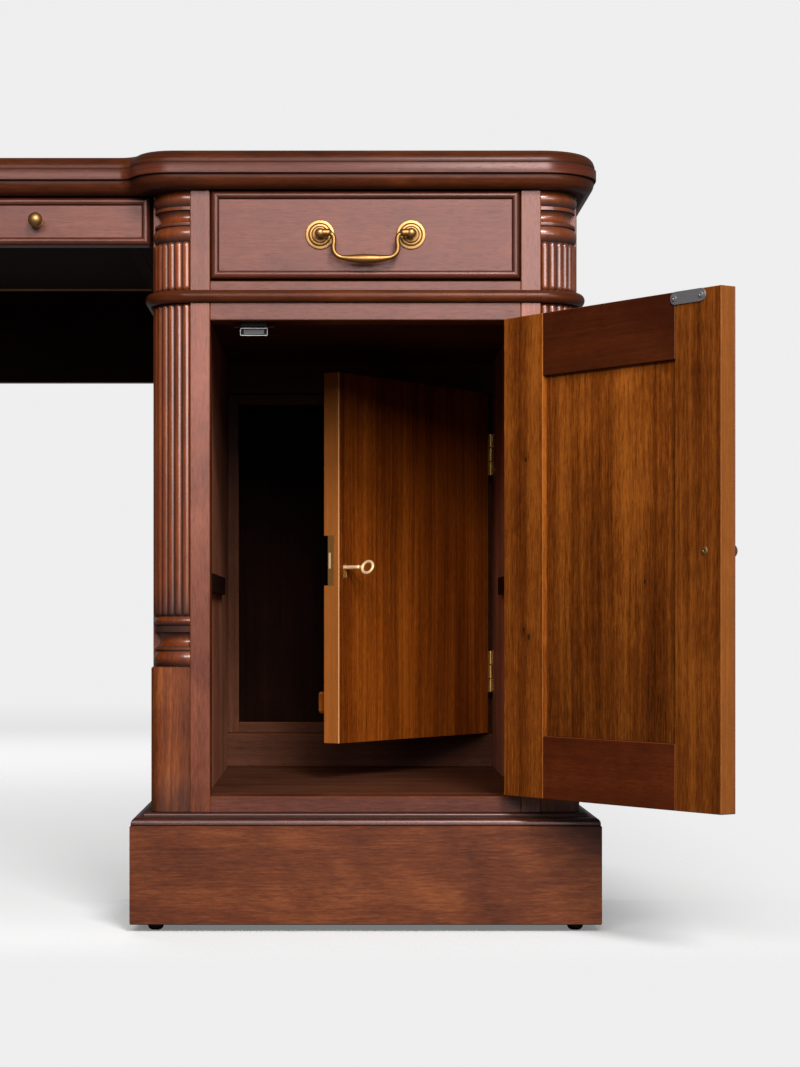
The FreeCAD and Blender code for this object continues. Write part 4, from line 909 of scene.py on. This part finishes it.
def at_corner(skin, side, x, y, quarter):
    """A skin made about a column's axis, turned by quarters and put at one corner of a pedestal."""
    turned = skin.turned((0, 0), quarter * math.pi / 2)
    return turned.moved(turned.points + (PEDESTAL_X * side + LINING_OUT * x, (HALF_DEPTH - NOTCH) * y, 0))


def reed_rise(share, width_share):
    """Height of a reed at a share of its pitch, 0 to 1: an arc that spans the share of the width given."""
    half_pitch = 0.5 * GROOVE * math.pi / 2 / REEDS
    rise = COLUMN - GROOVE
    bend = (half_pitch**2 + rise**2) / (2 * rise)
    offset = (2 * share - 1) * half_pitch / np.maximum(width_share, 1e-3)
    inside = np.abs(offset) < half_pitch
    height = np.sqrt(np.maximum(bend**2 - offset**2, 0)) - (bend - rise)
    return np.where(inside & (width_share > 1e-3), height * np.minimum(1, width_share), 0)


def column_skin(radius, glaze, levels):
    """A quarter column about its own axis: each loop is the axis point, then the rim from 0 to 90 degrees."""
    rows, count = radius.shape
    angle = np.linspace(0, math.pi / 2, count)
    height = np.broadcast_to(levels[:, None], radius.shape)
    rim = np.stack([radius * np.cos(angle), radius * np.sin(angle), height], -1)
    axis = np.stack([np.zeros(rows), np.zeros(rows), levels], -1)[:, None]
    loops = np.concatenate([axis, rim], 1)
    dark = np.concatenate([np.zeros((rows, 1)), glaze], 1)
    return outwards(lofted(loops, loops[:, :, [2, 0, 1]] + new_offset(), dark))


def shaft(low, high, foot_glaze_and_shade=0.0):
    """Reeds with round ends. A reed's width falls to nothing over its last few millimetres. Painted shade
    fills the valleys between the reeds, and the darkening at its foot, painted shade with some dark
    antiquing, thins out upwards."""
    tip, foot_height, valley_shade_depth = 4.2, 30.0, 2.1
    near = tip * (1 - np.cos(np.linspace(0, math.pi / 2, 7)))
    levels = np.concatenate([low + near, low + np.array([9.0, 16.0, 24.0, 34.0]),
                             np.linspace(low + 34, high - tip, 6)[1:-1], (high - near)[::-1]])
    end = np.minimum(levels - low, high - levels)
    width = np.where(end < tip, np.sqrt(np.clip(1 - (1 - end / tip) ** 2, 0, 1)), 1.0)
    share = np.linspace(0, REEDS, REEDS * (REED_POINTS - 1) + 1) % 1.0
    rise = reed_rise(share[None], width[:, None])
    rise[:, 0] = 0
    foot = foot_glaze_and_shade * np.clip(1 - (levels - low) / foot_height, 0, 1)
    # Painted shade fills the valleys between reeds; the foot darkens as painted shade with some dark
    # antiquing.
    glaze = np.maximum(np.clip(1 - rise / valley_shade_depth, 0, 1), foot[:, None])
    return column_skin(GROOVE + rise, glaze, levels)


def rings(low, heights, bulges):
    """Turned rings: bead, fillet, cove, fillet, bead, of the heights given.

    A bead swells from the neck as a half wave, and the cove sinks into it; bulges gives how far, for the
    first bead, the cove and the last bead. Painted shade lies thickest in the corners and on the undersides,
    and fills a tall upper fillet."""
    neck, flat, count = 36.0, 37.6, 17
    share = np.linspace(0, 1, 11)
    swell = np.sin(math.pi * share)
    first, step, cove, last_step, last = heights
    fillet = [flat, flat]
    radius = np.concatenate([neck + bulges[0] * swell, fillet, neck - bulges[1] * swell, fillet,
                             neck + bulges[2] * swell])
    starts = np.cumsum([0, first, step, cove, last_step])
    rise = np.concatenate([first * share, [first, starts[2]], starts[2] + cove * share,
                           [starts[3], starts[4]], starts[4] + last * share])
    # Painted shade: each bead is darker on its underside and in its corners.
    bead_shade = np.array([1.0, 0.85, 0.65, 0.45, 0.3, 0.15, 0.1, 0.1, 0.15, 0.4, 1.0])
    step_shade = [0.85 if last_step > 4 else 0.2] * 2
    dark = np.concatenate([bead_shade, [0.9, 0.1], bead_shade[::-1] * 0.9, step_shade, bead_shade])
    return column_skin(np.repeat(radius[:, None], count, 1), np.repeat(dark[:, None], count, 1), low + rise)


def columns(side, name):
    """Rings, shaft, shaft above the waist moulding and rings again, at the pedestal's four corners."""
    stack = CARCASS - RING_STACK
    parts = [rings(BLOCK_TOP, LOWER_RINGS, (3.4, 4.4, 3.0)), shaft(BLOCK_TOP + RING_STACK, WAIST, 0.8),
             shaft(WAIST_TOP, stack), rings(stack, UPPER_RINGS, (3.4, 3.2, 3.4))]
    skins = [at_corner(part, side, *corner) for corner in CORNERS for part in parts]
    for skin in skins:
        skin.grain = skin.grain + new_offset()
    wood_piece(f"{name}_reeded_columns", skins, COLUMN_WOOD, f"{name}_columns", smooth=50.0)


def base_blocks():
    """Square blocks with their outer corner rounded and their edges broken."""
    radius = 12.0
    inner = NOTCH - radius
    rounded = curve((inner, inner), (radius, radius), arc(0, 90, 9))
    shape = np.array([(0, 0), (NOTCH, 0)] + rounded + [(0, NOTCH)])
    levels = [(0.9, BASE), (0.0, BASE + 0.9), (0.0, BASE + 45), (0.0, BLOCK_TOP - 1.2), (1.2, BLOCK_TOP)]
    loops = np.stack([np.column_stack([shape * (NOTCH - inset) / NOTCH, np.full(len(shape), z)])
                      for inset, z in levels])
    # Painted shade at the blocks' feet and, lightly, under their tops.
    dark = np.repeat([0.6, 0.5, 0.0, 0.0, 0.2], len(shape))
    skins = []
    for side in SIDES:
        for corner in CORNERS:
            block = outwards(lofted(loops, loops[:, :, [2, 0, 1]] + new_offset(), dark))
            skins.append(at_corner(block, side, *corner))
    wood_piece("column_base_blocks", skins, BLOCK_WOOD, "base_blocks", smooth=40.0)


# Beads, knobs and bails

OUT = (0, -1, 0)
POST_HALF = 45.5


def bead_frame(x, z, face):
    """A half-round bead mitred round a drawer front or panel, standing out from its face."""
    profile = curve((4.0, -0.3), (-3.85, -3.7), arc(0, 180, 11)) + [(8.0, 0.0), (0.0, 0.0)]
    # Painted shade in the quirks on both sides of the bead.
    glaze = [0.8, 0.2] + [0.0] * 6 + [0.2, 0.7, 1.0, 1.0, 0.5]
    middle = ((x[0] + x[1]) / 2, face, (z[0] + z[1]) / 2)
    return mitred_ring(profile, (x[1] - x[0]) / 2, (z[1] - z[0]) / 2, middle, glaze, "xz")


def ball_knob(x, face, z):
    """A small turned knob: rose, neck and a ball."""
    profile = [(0, 0), (6.5, 0), (6.5, 1.2), (5.6, 2.0), (4.0, 2.3), (3.0, 3.4), (2.8, 5.4)]
    profile += curve((0, 12.6), (7.4, 7.4), arc(-62, 90, 15))
    # Painted shade in the neck under the ball.
    return lathe(profile, (x, face, z), OUT, 36, spots(len(profile), {4: 0.8, 5: 0.9, 6: 0.7}))


def bail_post(x, face, z):
    """A round backplate with two raised rings, and a short post with a ball."""
    profile = [(0, 0), (14.5, 0), (14.8, 0.8), (14.3, 1.5), (13.6, 1.7), (11.9, 1.8), (11.4, 1.3),
               (11.0, 1.9), (10.4, 2.4), (9.6, 2.6), (8.8, 2.6), (8.2, 2.1), (7.8, 2.6), (7.2, 3.0),
               (6.4, 3.0), (5.0, 2.6), (3.6, 2.8), (3.1, 4.5), (3.0, 9.5)]
    profile += curve((0, 14.0), (5.0, 5.0), arc(-50, 90, 13))
    # Painted shade in the rings' grooves and round the post's neck.
    glaze = spots(len(profile), {1: 0.6, 6: 0.8, 11: 0.8, 14: 0.5, 15: 0.9, 16: 1.0, 17: 0.9})
    return lathe(profile, (x, face, z), OUT, 48, glaze)


def bail(x, y, z):
    """A swan-neck bail: from each post inwards, down in an S, and along a grip that swells as a cosine."""
    half = [(45.0, 0), (39.0, 0.1), (34.8, -0.8), (32.0, -4.0), (31.6, -9.0), (32.2, -14.0), (31.0, -19.5),
            (26.5, -23.6), (19.0, -25.2), (9.0, -25.8)]
    points = [(-u, w) for u, w in half] + [(0, -25.9)] + [(u, w) for u, w in half[::-1]]
    path = smooth_path([(x + u, y, z + w) for u, w in points], 121)
    offset = np.abs(path[:, 0] - x)
    grip = np.cos(np.clip(offset / 25.0, 0, 1) * math.pi / 2) ** 1.3
    sleeve = np.clip((offset - 34.6) / 1.6, 0, 1)
    return tube(path, 2.4 + 2.4 * grip + 1.6 * sleeve, (0, 1, 0), 18)


# Drawers

DRAWER_FRONT = 18.0
DRAWER_DEPTH = 420.0
DRAWER_WALL = 11.0
DRAWER_BOTTOM = 6.0


def drawer_box(x, y, z, lift):
    """Two sides and a back of plain boards, and a bottom between them, lifted off their lower edge."""
    inside = (x[0] + DRAWER_WALL, x[1] - DRAWER_WALL)
    back = y[1] - DRAWER_WALL
    walls = [
        board((x[0], inside[0]), y, z, "y"),
        board((inside[1], x[1]), y, z, "y"),
        board(inside, (back, y[1]), z, "x"),
    ]
    return walls, board(inside, (y[0], back), (z[0] + lift, z[0] + lift + DRAWER_BOTTOM), "x")


def drawer_pieces(name, front_x, front_z, face, box_x, box_z, lift):
    """A drawer's front with its bead, and the box behind it."""
    rear = face + DRAWER_FRONT
    front = board(front_x, (face, rear), front_z, "x")
    wood_piece(f"{name}_face", [front], FACE_WOOD, f"{name}_front", name)
    wood_piece(f"{name}_bead", [bead_frame(front_x, front_z, face)], BEAD_WOOD, None, name)
    walls, bottom = drawer_box(box_x, (rear, rear + DRAWER_DEPTH), box_z, lift)
    wood_piece(f"{name}_walls", walls, DRAWER_WOOD, f"{name}_box", name)
    wood_piece(f"{name}_floor", [bottom], DRAWER_WOOD, f"{name}_bottom", name)


def drawers():
    """The pedestals' drawers with their bails, and the centre drawer with its knobs and a dark sheet of
    painted shade under it.
    """
    face = FRONT + 1.0
    front_half, box_half = 154.3, 154.5
    front_z = (DRAWER + 2.5, CARCASS - 1.0)
    box_z = (DRAWER + 0.3, DRAWER + 75.3)
    middle = (front_z[0] + front_z[1]) / 2
    for side, name in zip(SIDES, ("right_drawer", "left_drawer")):
        front_x, box_x = across(side, -front_half, front_half), across(side, -box_half, box_half)
        drawer_pieces(name, front_x, front_z, face, box_x, box_z, 6)
        x = PEDESTAL_X * side
        posts = [bail_post(x + POST_HALF * way, face, middle) for way in SIDES]
        metal_piece(f"{name}_backplates", posts, AGED_BRASS, f"{name}_posts", name)
        metal_piece(f"{name}_swan_bail", [bail(x, face - 14, middle)], BAIL_BRASS, f"{name}_bail",
                    name.replace("drawer", "bail"))
    half, box_half, knob_x = KNEEHOLE - 4.0, 296.0, 194.0
    front_z = (690.7, CARCASS - 1.0)
    box_z = (702.3, 732.3)
    face = FRAME_FRONT
    drawer_pieces("centre_drawer", (-half, half), front_z, face, (-box_half, box_half), box_z, 2)
    # Painted shade: a dark sheet just under the drawer's bottom.
    underside = board((-283.5, 283.5), (face + 19, face + 426), (703.4, 704.2), "x", 0.1)
    wood_piece("centre_drawer_shade_sheet", [underside], PAINTED_SHADE_WOOD, None, "centre_drawer")
    knobs = [ball_knob(knob_x * way, face, (front_z[0] + front_z[1]) / 2) for way in SIDES]
    metal_piece("centre_drawer_ball_knobs", knobs, AGED_BRASS, "centre_drawer_knobs", "centre_drawer")


def kneehole():
    """The centre drawer's L-shaped runners, dark as painted shade, and the apron at the back with a dark
    sheet of painted shade on its front.
    """
    run = (FRAME_FRONT + 20, FRAME_FRONT + 440)
    low, shelf_in, wall_in = 692, 284, 297
    skins = [board(x, run, (low, 735), "y") for x in pair(wall_in, KNEEHOLE)]
    skins += [board(x, run, (low, 702), "y") for x in pair(shelf_in, wall_in)]
    # Painted shade: the centre drawer's runners take the near-black shade wood.
    wood_piece("centre_runner_boards", skins, PAINTED_SHADE_WOOD, "centre_drawer_runners")
    half = 304
    front, lined = FRAME_REAR - 20, FRAME_REAR - 17
    # Painted shade: a dark sheet over the apron's front face.
    shade_sheets = [board((-half, half), (front, lined), (APRON, CARCASS), "x", 0.3)]
    wood_piece("kneehole_apron_shade_sheet", shade_sheets, PAINTED_SHADE_WOOD)
    y = (lined, FRAME_REAR)
    apron = [board((-half, half), y, (APRON, CARCASS), "x")]
    apron += [board(x, y, z, "x", 0.3)
              for x in pair(half, KNEEHOLE) for z in [(APRON, WAIST), (WAIST_TOP, CARCASS)]]
    wood_piece("kneehole_apron_boards", apron, FACE_WOOD, "kneehole_apron")


# Doors

FACING = 1.2
DOOR_THICK = 18.0
DOOR_FREE = -154.3
DOOR_HINGED = 153.1
DOOR_STILE = 60.0
DOOR_RAIL = 61.0


def screw_head(x, y, z, radius, rise=1.0):
    """A domed screw head with a dimple in its middle."""
    profile = [(0, 0), (radius, 0), (radius, 0.35 * rise), (0.8 * radius, 0.8 * rise), (0.45 * radius, rise),
               (0.34 * radius, 0.95 * rise), (0.2 * radius, 0.35 * rise), (0, 0.25 * rise)]
    # Painted shade in the dimple.
    return lathe(profile, (x, y, z), (0, 1, 0), 20, spots(len(profile), {5: 0.6, 6: 1.0, 7: 1.0}))


def strike_plate(side, middle_u, face, top):
    """A plate with round ends and a broken edge, held by two screws."""
    half, tall, thick, screw = 23.0, 12.0, 1.2, 17.5
    radius = tall / 2
    right = np.array(curve((half - radius, 0), (radius, radius), arc(-90, 90, 13)))
    outline = np.vstack([right, -right])
    middle = np.array([(PEDESTAL_X + middle_u) * side, 0, top - radius])
    loops = []
    for share, out in ((1.0, 0.0), (1.0, 0.8), (0.965, thick)):
        flat = outline * (1 - (1 - share) * tall / (2 * half), share)
        loops.append(np.column_stack([flat[:, 0], np.full(len(flat), face + out), flat[:, 1]]) + middle)
    plate = outwards(lofted(loops))
    return [plate] + [screw_head(middle[0] + screw * way, face + thick, middle[2], 3.0) for way in SIDES]


def butt_leaf(leaf_x, leaf_y, axis, low, height, radius, own):
    """One leaf of a hinge: its plate, and its own knuckles with the tabs that carry them."""
    gap, edge = 0.3, 0.4
    knuckle = height / 3
    length = knuckle - 2 * gap
    skins = [board(leaf_x, leaf_y, (low, low + height), "z", 0.25)]
    rim = [(0, 0), (radius - edge, 0), (radius, edge), (radius, length - edge), (radius - edge, length),
           (0, length)]
    for number in own:
        start = low + knuckle * number + gap
        skins.append(board(leaf_x, (axis[1], leaf_y[0] + 0.4), (start, start + length), "z", 0.15))
        # Painted shade at the knuckles' ends, by the gaps.
        skins.append(lathe(rim, (axis[0], axis[1], start), (0, 0, 1), 20, [0.3, 0.8, 0, 0, 0.8, 0.3]))
    return skins


def hinges(frame_x, door_x, leaf_y, axis, lows, height, radius):
    """A door's hinges: the frame's leaves with the outer knuckles, and the door's with the middle one."""
    frame_skins, door_skins = [], []
    for low in lows:
        frame_skins += butt_leaf(frame_x, leaf_y, axis, low, height, radius, (0, 2))
        door_skins += butt_leaf(door_x, leaf_y, axis, low, height, radius, (1,))
    return frame_skins, door_skins


def cupboard_door(side, name, angle):
    """A framed door. Its outside has a thin facing, finished like the drawers; its inside is plainer.

    It gives the hinge leaves that stay on the carcass."""
    low, high = FLOOR + 2.6, LINTEL - 1.2
    face, inside = FRONT + 4.0, FRONT + DOOR_THICK
    y = (FRONT + FACING, inside)
    free_stile = across(side, DOOR_FREE, DOOR_FREE + DOOR_STILE)
    hinge_stile = across(side, DOOR_HINGED - DOOR_STILE, DOOR_HINGED)
    panel_x = across(side, DOOR_FREE + DOOR_STILE, DOOR_HINGED - DOOR_STILE)
    panel_z = (low + DOOR_RAIL, high - DOOR_RAIL)
    low_rail, top_rail = (low, panel_z[0]), (panel_z[1], high)

    def opened(skins):
        return [skin.turned(DOOR_AXIS, angle) for skin in skins] if angle else skins

    far = new_offset()
    # Painted shade: the free stile is darkened.
    stiles = [board(free_stile, y, (low, high), "z", 0.6, -2.0, far),
              board(hinge_stile, y, (low, high), "z", 0.6, 0.0, 0.0 if angle else -far)]
    # Painted light: the free stile's outer edge face takes the full paler edge colour.
    stiles[0].wear[0 if side > 0 else 1] = 1.0
    wood_piece(f"{name}_stiles", opened(stiles), DOOR_WOOD, f"{name}_frame", name)
    rails = [board(panel_x, y, z, "x", 0.6, tone) for z, tone in ((low_rail, 1.2), (top_rail, -1.8))]
    wood_piece(f"{name}_rails", opened(rails), RAIL_WOOD, None, name)
    # Painted shade: the field darkens towards its bottom.
    field = board(panel_x, (face + FACING, face + 9), panel_z, "z", 0.2, (-1.6, 0.6), 0.0 if angle else far)
    wood_piece(f"{name}_field", opened([field]), PANEL_WOOD, f"{name}_panel", name)
    wood_piece(f"{name}_bead", opened([bead_frame(panel_x, panel_z, face)]), MOULDING_WOOD, None, name)
    outside = (FRONT, FRONT + FACING)
    facing = [board(x, outside, (low, high), "z", 0.4) for x in (free_stile, hinge_stile)]
    facing += [board(panel_x, outside, z, "x", 0.4) for z in (low_rail, top_rail)]
    facing.append(board(panel_x, (face, face + FACING), panel_z, "z", 0.2))
    wood_piece(f"{name}_facing", opened(facing), FACE_WOOD, None, name)
    knob_x, knob_z = (PEDESTAL_X + DOOR_FREE + 21) * side, (low + high) / 2
    knob = [ball_knob(knob_x, FRONT, knob_z), screw_head(knob_x, inside, knob_z, 4.0, 1.2)]
    metal_piece(f"{name}_ball_knob", opened(knob), AGED_BRASS, f"{name}_knob", name)
    strike = strike_plate(side, DOOR_FREE + 42, inside, high)
    metal_piece(f"{name}_strike_plate", opened(strike), STRIKE_STEEL, f"{name}_strike", name)
    frame_skins, door_skins = hinges(
        across(side, 154.4, OPENING), across(side, DOOR_HINGED, 154.2), (FRONT, FRONT + 16),
        (DOOR_AXIS[0] * side, DOOR_AXIS[1]), lows=(FLOOR + 62.6, LINTEL - 121.2), height=60.0, radius=3.2)
    metal_piece(f"{name}_hinge_leaves", opened(door_skins), AGED_BRASS, f"{name}_hinges", name)
    return frame_skins


def catch_parts(side):
    """The packing with the ears and case below it, and the bright lips and magnet in the case's mouth."""
    middle = -112.3

    def wide(half):
        return across(side, middle - half, middle + half)

    y, mouth = (FRONT + 19.5, FRONT + 38.5), 3.0
    low, high, ear_top = LINTEL - 13.6, LINTEL - 5.4, LINTEL - 4.2
    case = [
        board(wide(13), y, (ear_top, LINTEL), "x", 0.4),
        board(wide(20.5), (y[0] + 1.3, y[1]), (high, ear_top), "x", 0.3),
        board(wide(14), (y[0] + mouth, y[1]), (low, high), "x", 0.6),
    ]
    lip_y = (y[0], y[0] + mouth)
    lips = [board(wide(14), lip_y, z, "x", 0.3) for z in ((low, low + 1.1), (high - 1.1, high))]
    lips += [board(across(side, *u), lip_y, (low, high), "x", 0.3)
             for u in ((middle - 14, middle - 13), (middle + 13, middle + 14))]
    magnet = board(wide(10.4), (y[0] + 0.8, y[0] + 3.2), (low + 1.6, high - 1.6), "x", 0.3)
    return case, lips, magnet


def doors():
    """Both cupboard doors, the hinge leaves on the carcass, and the magnetic catches."""
    frame_skins = cupboard_door(1, "right_door", DOOR_ANGLE) + cupboard_door(-1, "left_door", 0.0)
    metal_piece("door_frame_hinge_leaves", frame_skins, AGED_BRASS, "door_frame_hinges")
    parts = [catch_parts(side) for side in SIDES]
    metal_piece("magnetic_catch_cases", [skin for case, _, _ in parts for skin in case], DARK_STEEL_AND_SHADE,
                "magnetic_catches")
    metal_piece("magnetic_catch_lips", [skin for _, lips, _ in parts for skin in lips], NICKEL)
    metal_piece("magnetic_catch_magnets", [magnet for _, _, magnet in parts], MAGNET_GREY)


# Inner door

STOP = 13.0


def soften(node, material, width):
    """Keep a part of the model as it is, with its edges broken and a finish of its own."""
    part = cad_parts[node]
    part.data.materials.clear()
    part.data.materials.append(material)
    weld = part.modifiers.new("weld", "WELD")
    weld.merge_threshold = 0.00002
    bevel = part.modifiers.new("bevel", "BEVEL")
    bevel.width = width * MM
    bevel.segments = 2
    bevel.limit_method = "ANGLE"
    bevel.angle_limit = math.radians(40)


def ring_bar(centre, radius, wire, turn):
    """A closed ring of round bar in the plane of the shank, leaning about the shank by an angle."""
    angle = np.linspace(0, TAU, 48, endpoint=False)[:, None]
    bend = np.linspace(0, TAU, 14, endpoint=False)[None, :, None]
    up = np.array([math.sin(turn), 0, math.cos(turn)])
    flat = np.array([math.cos(turn), 0, -math.sin(turn)])
    out = np.cos(angle) * np.array([0, 1.0, 0]) + np.sin(angle) * up
    loops = centre + out[:, None] * (radius + wire * np.cos(bend)) + 0.85 * wire * np.sin(bend) * flat
    return outwards(Skin(loops, grid_faces(48, 14, wrap_rows=True, wrap_columns=True)))


def lock_key():
    """A key: ring bow, shank with a turned collar, and the bit inside the lock."""
    x, z = PEDESTAL_X - 146.0, 368.0
    reach, bow, wire = 23.0, 6.8, 1.8
    end, inside = INNER_FACE - reach, INNER_FACE + 10.3
    ring = ring_bar(np.array([x, end - bow, z]), bow, wire, math.radians(22))
    length = inside - end
    profile = [(0, -0.6), (2.6, -0.4), (2.4, 1.2), (1.7, 2.6), (1.5, 3.4), (2.3, 4.0), (2.7, 5.0), (2.3, 6.0),
               (1.6, 6.5), (2.2, 7.0), (2.2, 7.8), (2.2, 8.4), (2.2, length - 0.4), (1.9, length),
               (0, length)]
    # Painted shade in the grooves of the collar.
    stem = lathe(profile, (x, end, z), (0, 1, 0), 24, spots(len(profile), {4: 0.7, 8: 0.7}))
    bit = board((x - 1.2, x + 1.2), (inside - 2, inside), (z - 8.5, z), "z", 0.2)
    return [ring, stem, bit]


def inner_door():
    """The inner door and its lock as the model has them, with a key, a rest block and two small hinges."""
    soften("inner_door", INNER_WOOD, 0.8)
    soften("inner_door_lock", LOCK_BRASS, 0.15)
    soften("inner_door_keyhole", BRIGHT_BRASS, 0.15)
    soften("inner_door_bolt", KEY_BRASS, 0.2)

    def opened(skins):
        return [skin.turned(INNER_AXIS, INNER_ANGLE) for skin in skins]

    metal_piece("inner_door_turned_key", opened(lock_key()), KEY_BRASS, "inner_door_key", "inner_key")
    start = INNER_FREE + 15.0
    block = board(across(1, start, start + 12), (INNER_FACE + 20, INNER_FACE + 40), (206, 230), "z", 2.5)
    wood_piece("inner_door_rest_block", opened([block]), DOOR_WOOD, "inner_door_block", "inner_door")
    wall_skins, door_skins = hinges(
        across(1, 158.9, LINING_IN), across(1, 156.5, 157.6), (INNER_FACE, INNER_FACE + 15), INNER_AXIS,
        lows=(223.0, 484.0), height=50.0, radius=2.4)
    metal_piece("inner_wall_leaves", wall_skins, BRIGHT_BRASS, "inner_frame_hinges")
    metal_piece("inner_door_leaves", opened(door_skins), BRIGHT_BRASS, "inner_door_hinges", "inner_door")


def inner_surround():
    """The rails below and above the inner door, and the stop frame behind it."""
    rail_y = (INNER_FACE, INNER_FACE + 20)
    rails = [board(across(1, -LINING_IN, LINING_IN), rail_y, z, "x")
             for z in ((FLOOR, INNER_LOW), (INNER_HIGH, DUST))]
    wood_piece("inner_rail_boards", rails, INSIDE_WOOD, "inner_rails")
    stop_in = LINING_IN - STOP
    stop_y = (INNER_FACE + 20.5, INNER_FACE + 32.5)
    stops = [board(across(1, *u), stop_y, (INNER_LOW, INNER_HIGH), "z") for u in pair(stop_in, LINING_IN)]
    stops += [board(across(1, -stop_in, stop_in), stop_y, z, "x")
              for z in ((INNER_LOW, INNER_LOW + STOP), (INNER_HIGH - STOP, INNER_HIGH))]
    wood_piece("inner_stop_boards", stops, INSIDE_WOOD, "inner_stop_frame")


def glides():
    """Dished feet: a quarter round from a small flat up to a short straight rim."""
    radius, away_x, away_y = 8.0, 210.0, 356.5
    profile = [(0, 0)] + curve((3.2, 5.2), (4.8, 5.2), arc(-90, 0, 9)) + [(radius, GLIDE_TOP), (0, GLIDE_TOP)]
    skins = [
        lathe(profile, (PEDESTAL_X * side + away_x * x, away_y * y, 0.0), (0, 0, 1), 32)
        for side in SIDES for x in SIDES for y in SIDES
    ]
    metal_piece("round_glides", skins, GLIDE_BLACK, "glides")


def build_desk():
    """All the pieces, in the order in which they draw their grain."""
    desk_top()
    frame_moulding()
    for side, name in zip(SIDES, ("right", "left")):
        plinth(side, name)
        columns(side, name)
    plinth_caps()
    wood_piece("waist_beads", [waist_moulding(side) for side in SIDES], MOULDING_WOOD, "waist_mouldings")
    carcass()
    base_blocks()
    drawers()
    kneehole()
    doors()
    inner_door()
    inner_surround()
    glides()


# Stage, light and camera: lights' places in millimetres, their sizes and the floor in metres

BACKDROP = 0.86
AMBIENT = 0.16
FLOOR_BOUNCE = 0.16
FLOOR_WHITE = 0.62
FLOOR_GLOW = 0.19
FLOOR_REACH = 9.0


def grey(level):
    return (level, level, level, 1.0)


def stage_floor():
    """A pale floor that fades into the backdrop. The eye sees it brighter than the desk does."""
    paint = new_paint("studio_floor_grey")
    seen = paint.add("ShaderNodeLightPath", out="Is Camera Ray")
    white = paint.add("ShaderNodeBsdfDiffuse", None, {"Color": grey(FLOOR_WHITE)})
    glow = paint.add("ShaderNodeEmission", None, {"Color": grey(1.0), "Strength": FLOOR_GLOW})
    lit = paint.add("ShaderNodeAddShader", None, {0: white, 1: glow})
    bounce = paint.add("ShaderNodeBsdfDiffuse", None, {"Color": grey(FLOOR_BOUNCE)})
    near = paint.add("ShaderNodeMixShader", None, {0: seen, 1: bounce, 2: lit})
    x, y, _ = paint.split(paint.own_place())
    beside = x.math("ABSOLUTE").between(0.77, 1.12)
    before = (y * -1).between(0.36, 0.62)
    behind = ((y + 0.1) / 6.6).math("MAXIMUM", 0.0).math("MINIMUM", 1.0) ** 0.4
    kept = (1 - beside) * (1 - before) * (1 - behind)
    clear = paint.add("ShaderNodeBsdfTransparent")
    faded = paint.add("ShaderNodeMixShader", None, {0: kept, 1: clear, 2: near})
    paint.put(paint.tree.nodes["Material Output"].inputs["Surface"], faded)
    mesh = bpy.data.meshes.new("studio_floor")
    corners = [(-1, -1), (1, -1), (1, 1), (-1, 1)]
    mesh.from_pydata([(x * FLOOR_REACH, y * FLOOR_REACH, 0) for x, y in corners], [], [(0, 1, 2, 3)])
    mesh.materials.append(paint.owner)
    floor = bpy.data.objects.new("studio_floor", mesh)
    bpy.context.scene.collection.objects.link(floor)


def backdrop():
    """An even pale backdrop. The eye sees it bright, and it lights the desk only dimly."""
    sky = Paint(bpy.data.worlds.new("studio_world"))
    seen = sky.add("ShaderNodeLightPath", out="Is Camera Ray")
    level = sky.add("ShaderNodeMapRange", None, {"Value": seen, "To Min": AMBIENT, "To Max": BACKDROP})
    background = sky.tree.nodes["Background"]
    sky.put(background.inputs["Color"], grey(1.0))
    sky.put(background.inputs["Strength"], level)
    bpy.context.scene.world = sky.owner
    bpy.context.scene.view_settings.view_transform = "Standard"


def softbox(name, place, target, size, power, mirrored=True, lights=True):
    """A soft panel of light. One that isn't mirrored gives no highlights, and one that doesn't light gives
    only those."""
    light = bpy.data.lights.new(name, "AREA")
    light.shape = "RECTANGLE"
    light.size, light.size_y = size
    light.energy = power
    lamp = bpy.data.objects.new(name, light)
    lamp.visible_glossy = mirrored
    lamp.visible_diffuse = lights
    lamp.location = Vector(place) * MM
    lamp.rotation_euler = (Vector(target) - Vector(place)).to_track_quat("-Z", "Y").to_euler()
    bpy.context.scene.collection.objects.link(lamp)


def camera():
    """A level camera, shifted so that verticals stay upright. One pixel of its 800 by 1067 frame is one
    millimetre on the carcass's front."""
    width, height, focal, sensor = 800.0, 1067.0, 2478.0, 36.0
    vanishing = (334.0, 620.0)
    data = bpy.data.cameras.new("camera")
    data.sensor_fit = "HORIZONTAL"
    data.sensor_width = sensor
    data.lens = sensor * focal / width
    data.shift_x = (width / 2 - vanishing[0]) / width
    data.shift_y = (vanishing[1] - height / 2) / width
    data.clip_end = 100.0
    eye = bpy.data.objects.new("camera", data)
    eye.location = (0.496, (FRONT - focal) * MM, 0.310)
    eye.rotation_euler = (math.pi / 2, 0, 0)
    bpy.context.scene.collection.objects.link(eye)
    bpy.context.scene.camera = eye


build_desk()
stage_floor()
backdrop()
softbox("front_softbox", (1550, -3250, 1000), (700, -361, 560), size=(3.0, 0.7), power=54.0, lights=False)
softbox("key_softbox", (720, -3150, 1420), (560, -361, 450), size=(1.0, 0.7), power=56.0, mirrored=False)
softbox("right_softbox", (1176, -2962, 2300), (527, -361, 560), size=(0.8, 0.8), power=101.0)
softbox("left_softbox", (-301, -2910, 1800), (560, -361, 450), size=(0.8, 0.8), power=27.0)
softbox("rear_softbox", (-600, 3400, 1900), (0, 0, 400), size=(2.6, 1.6), power=90.0, mirrored=False)
camera()
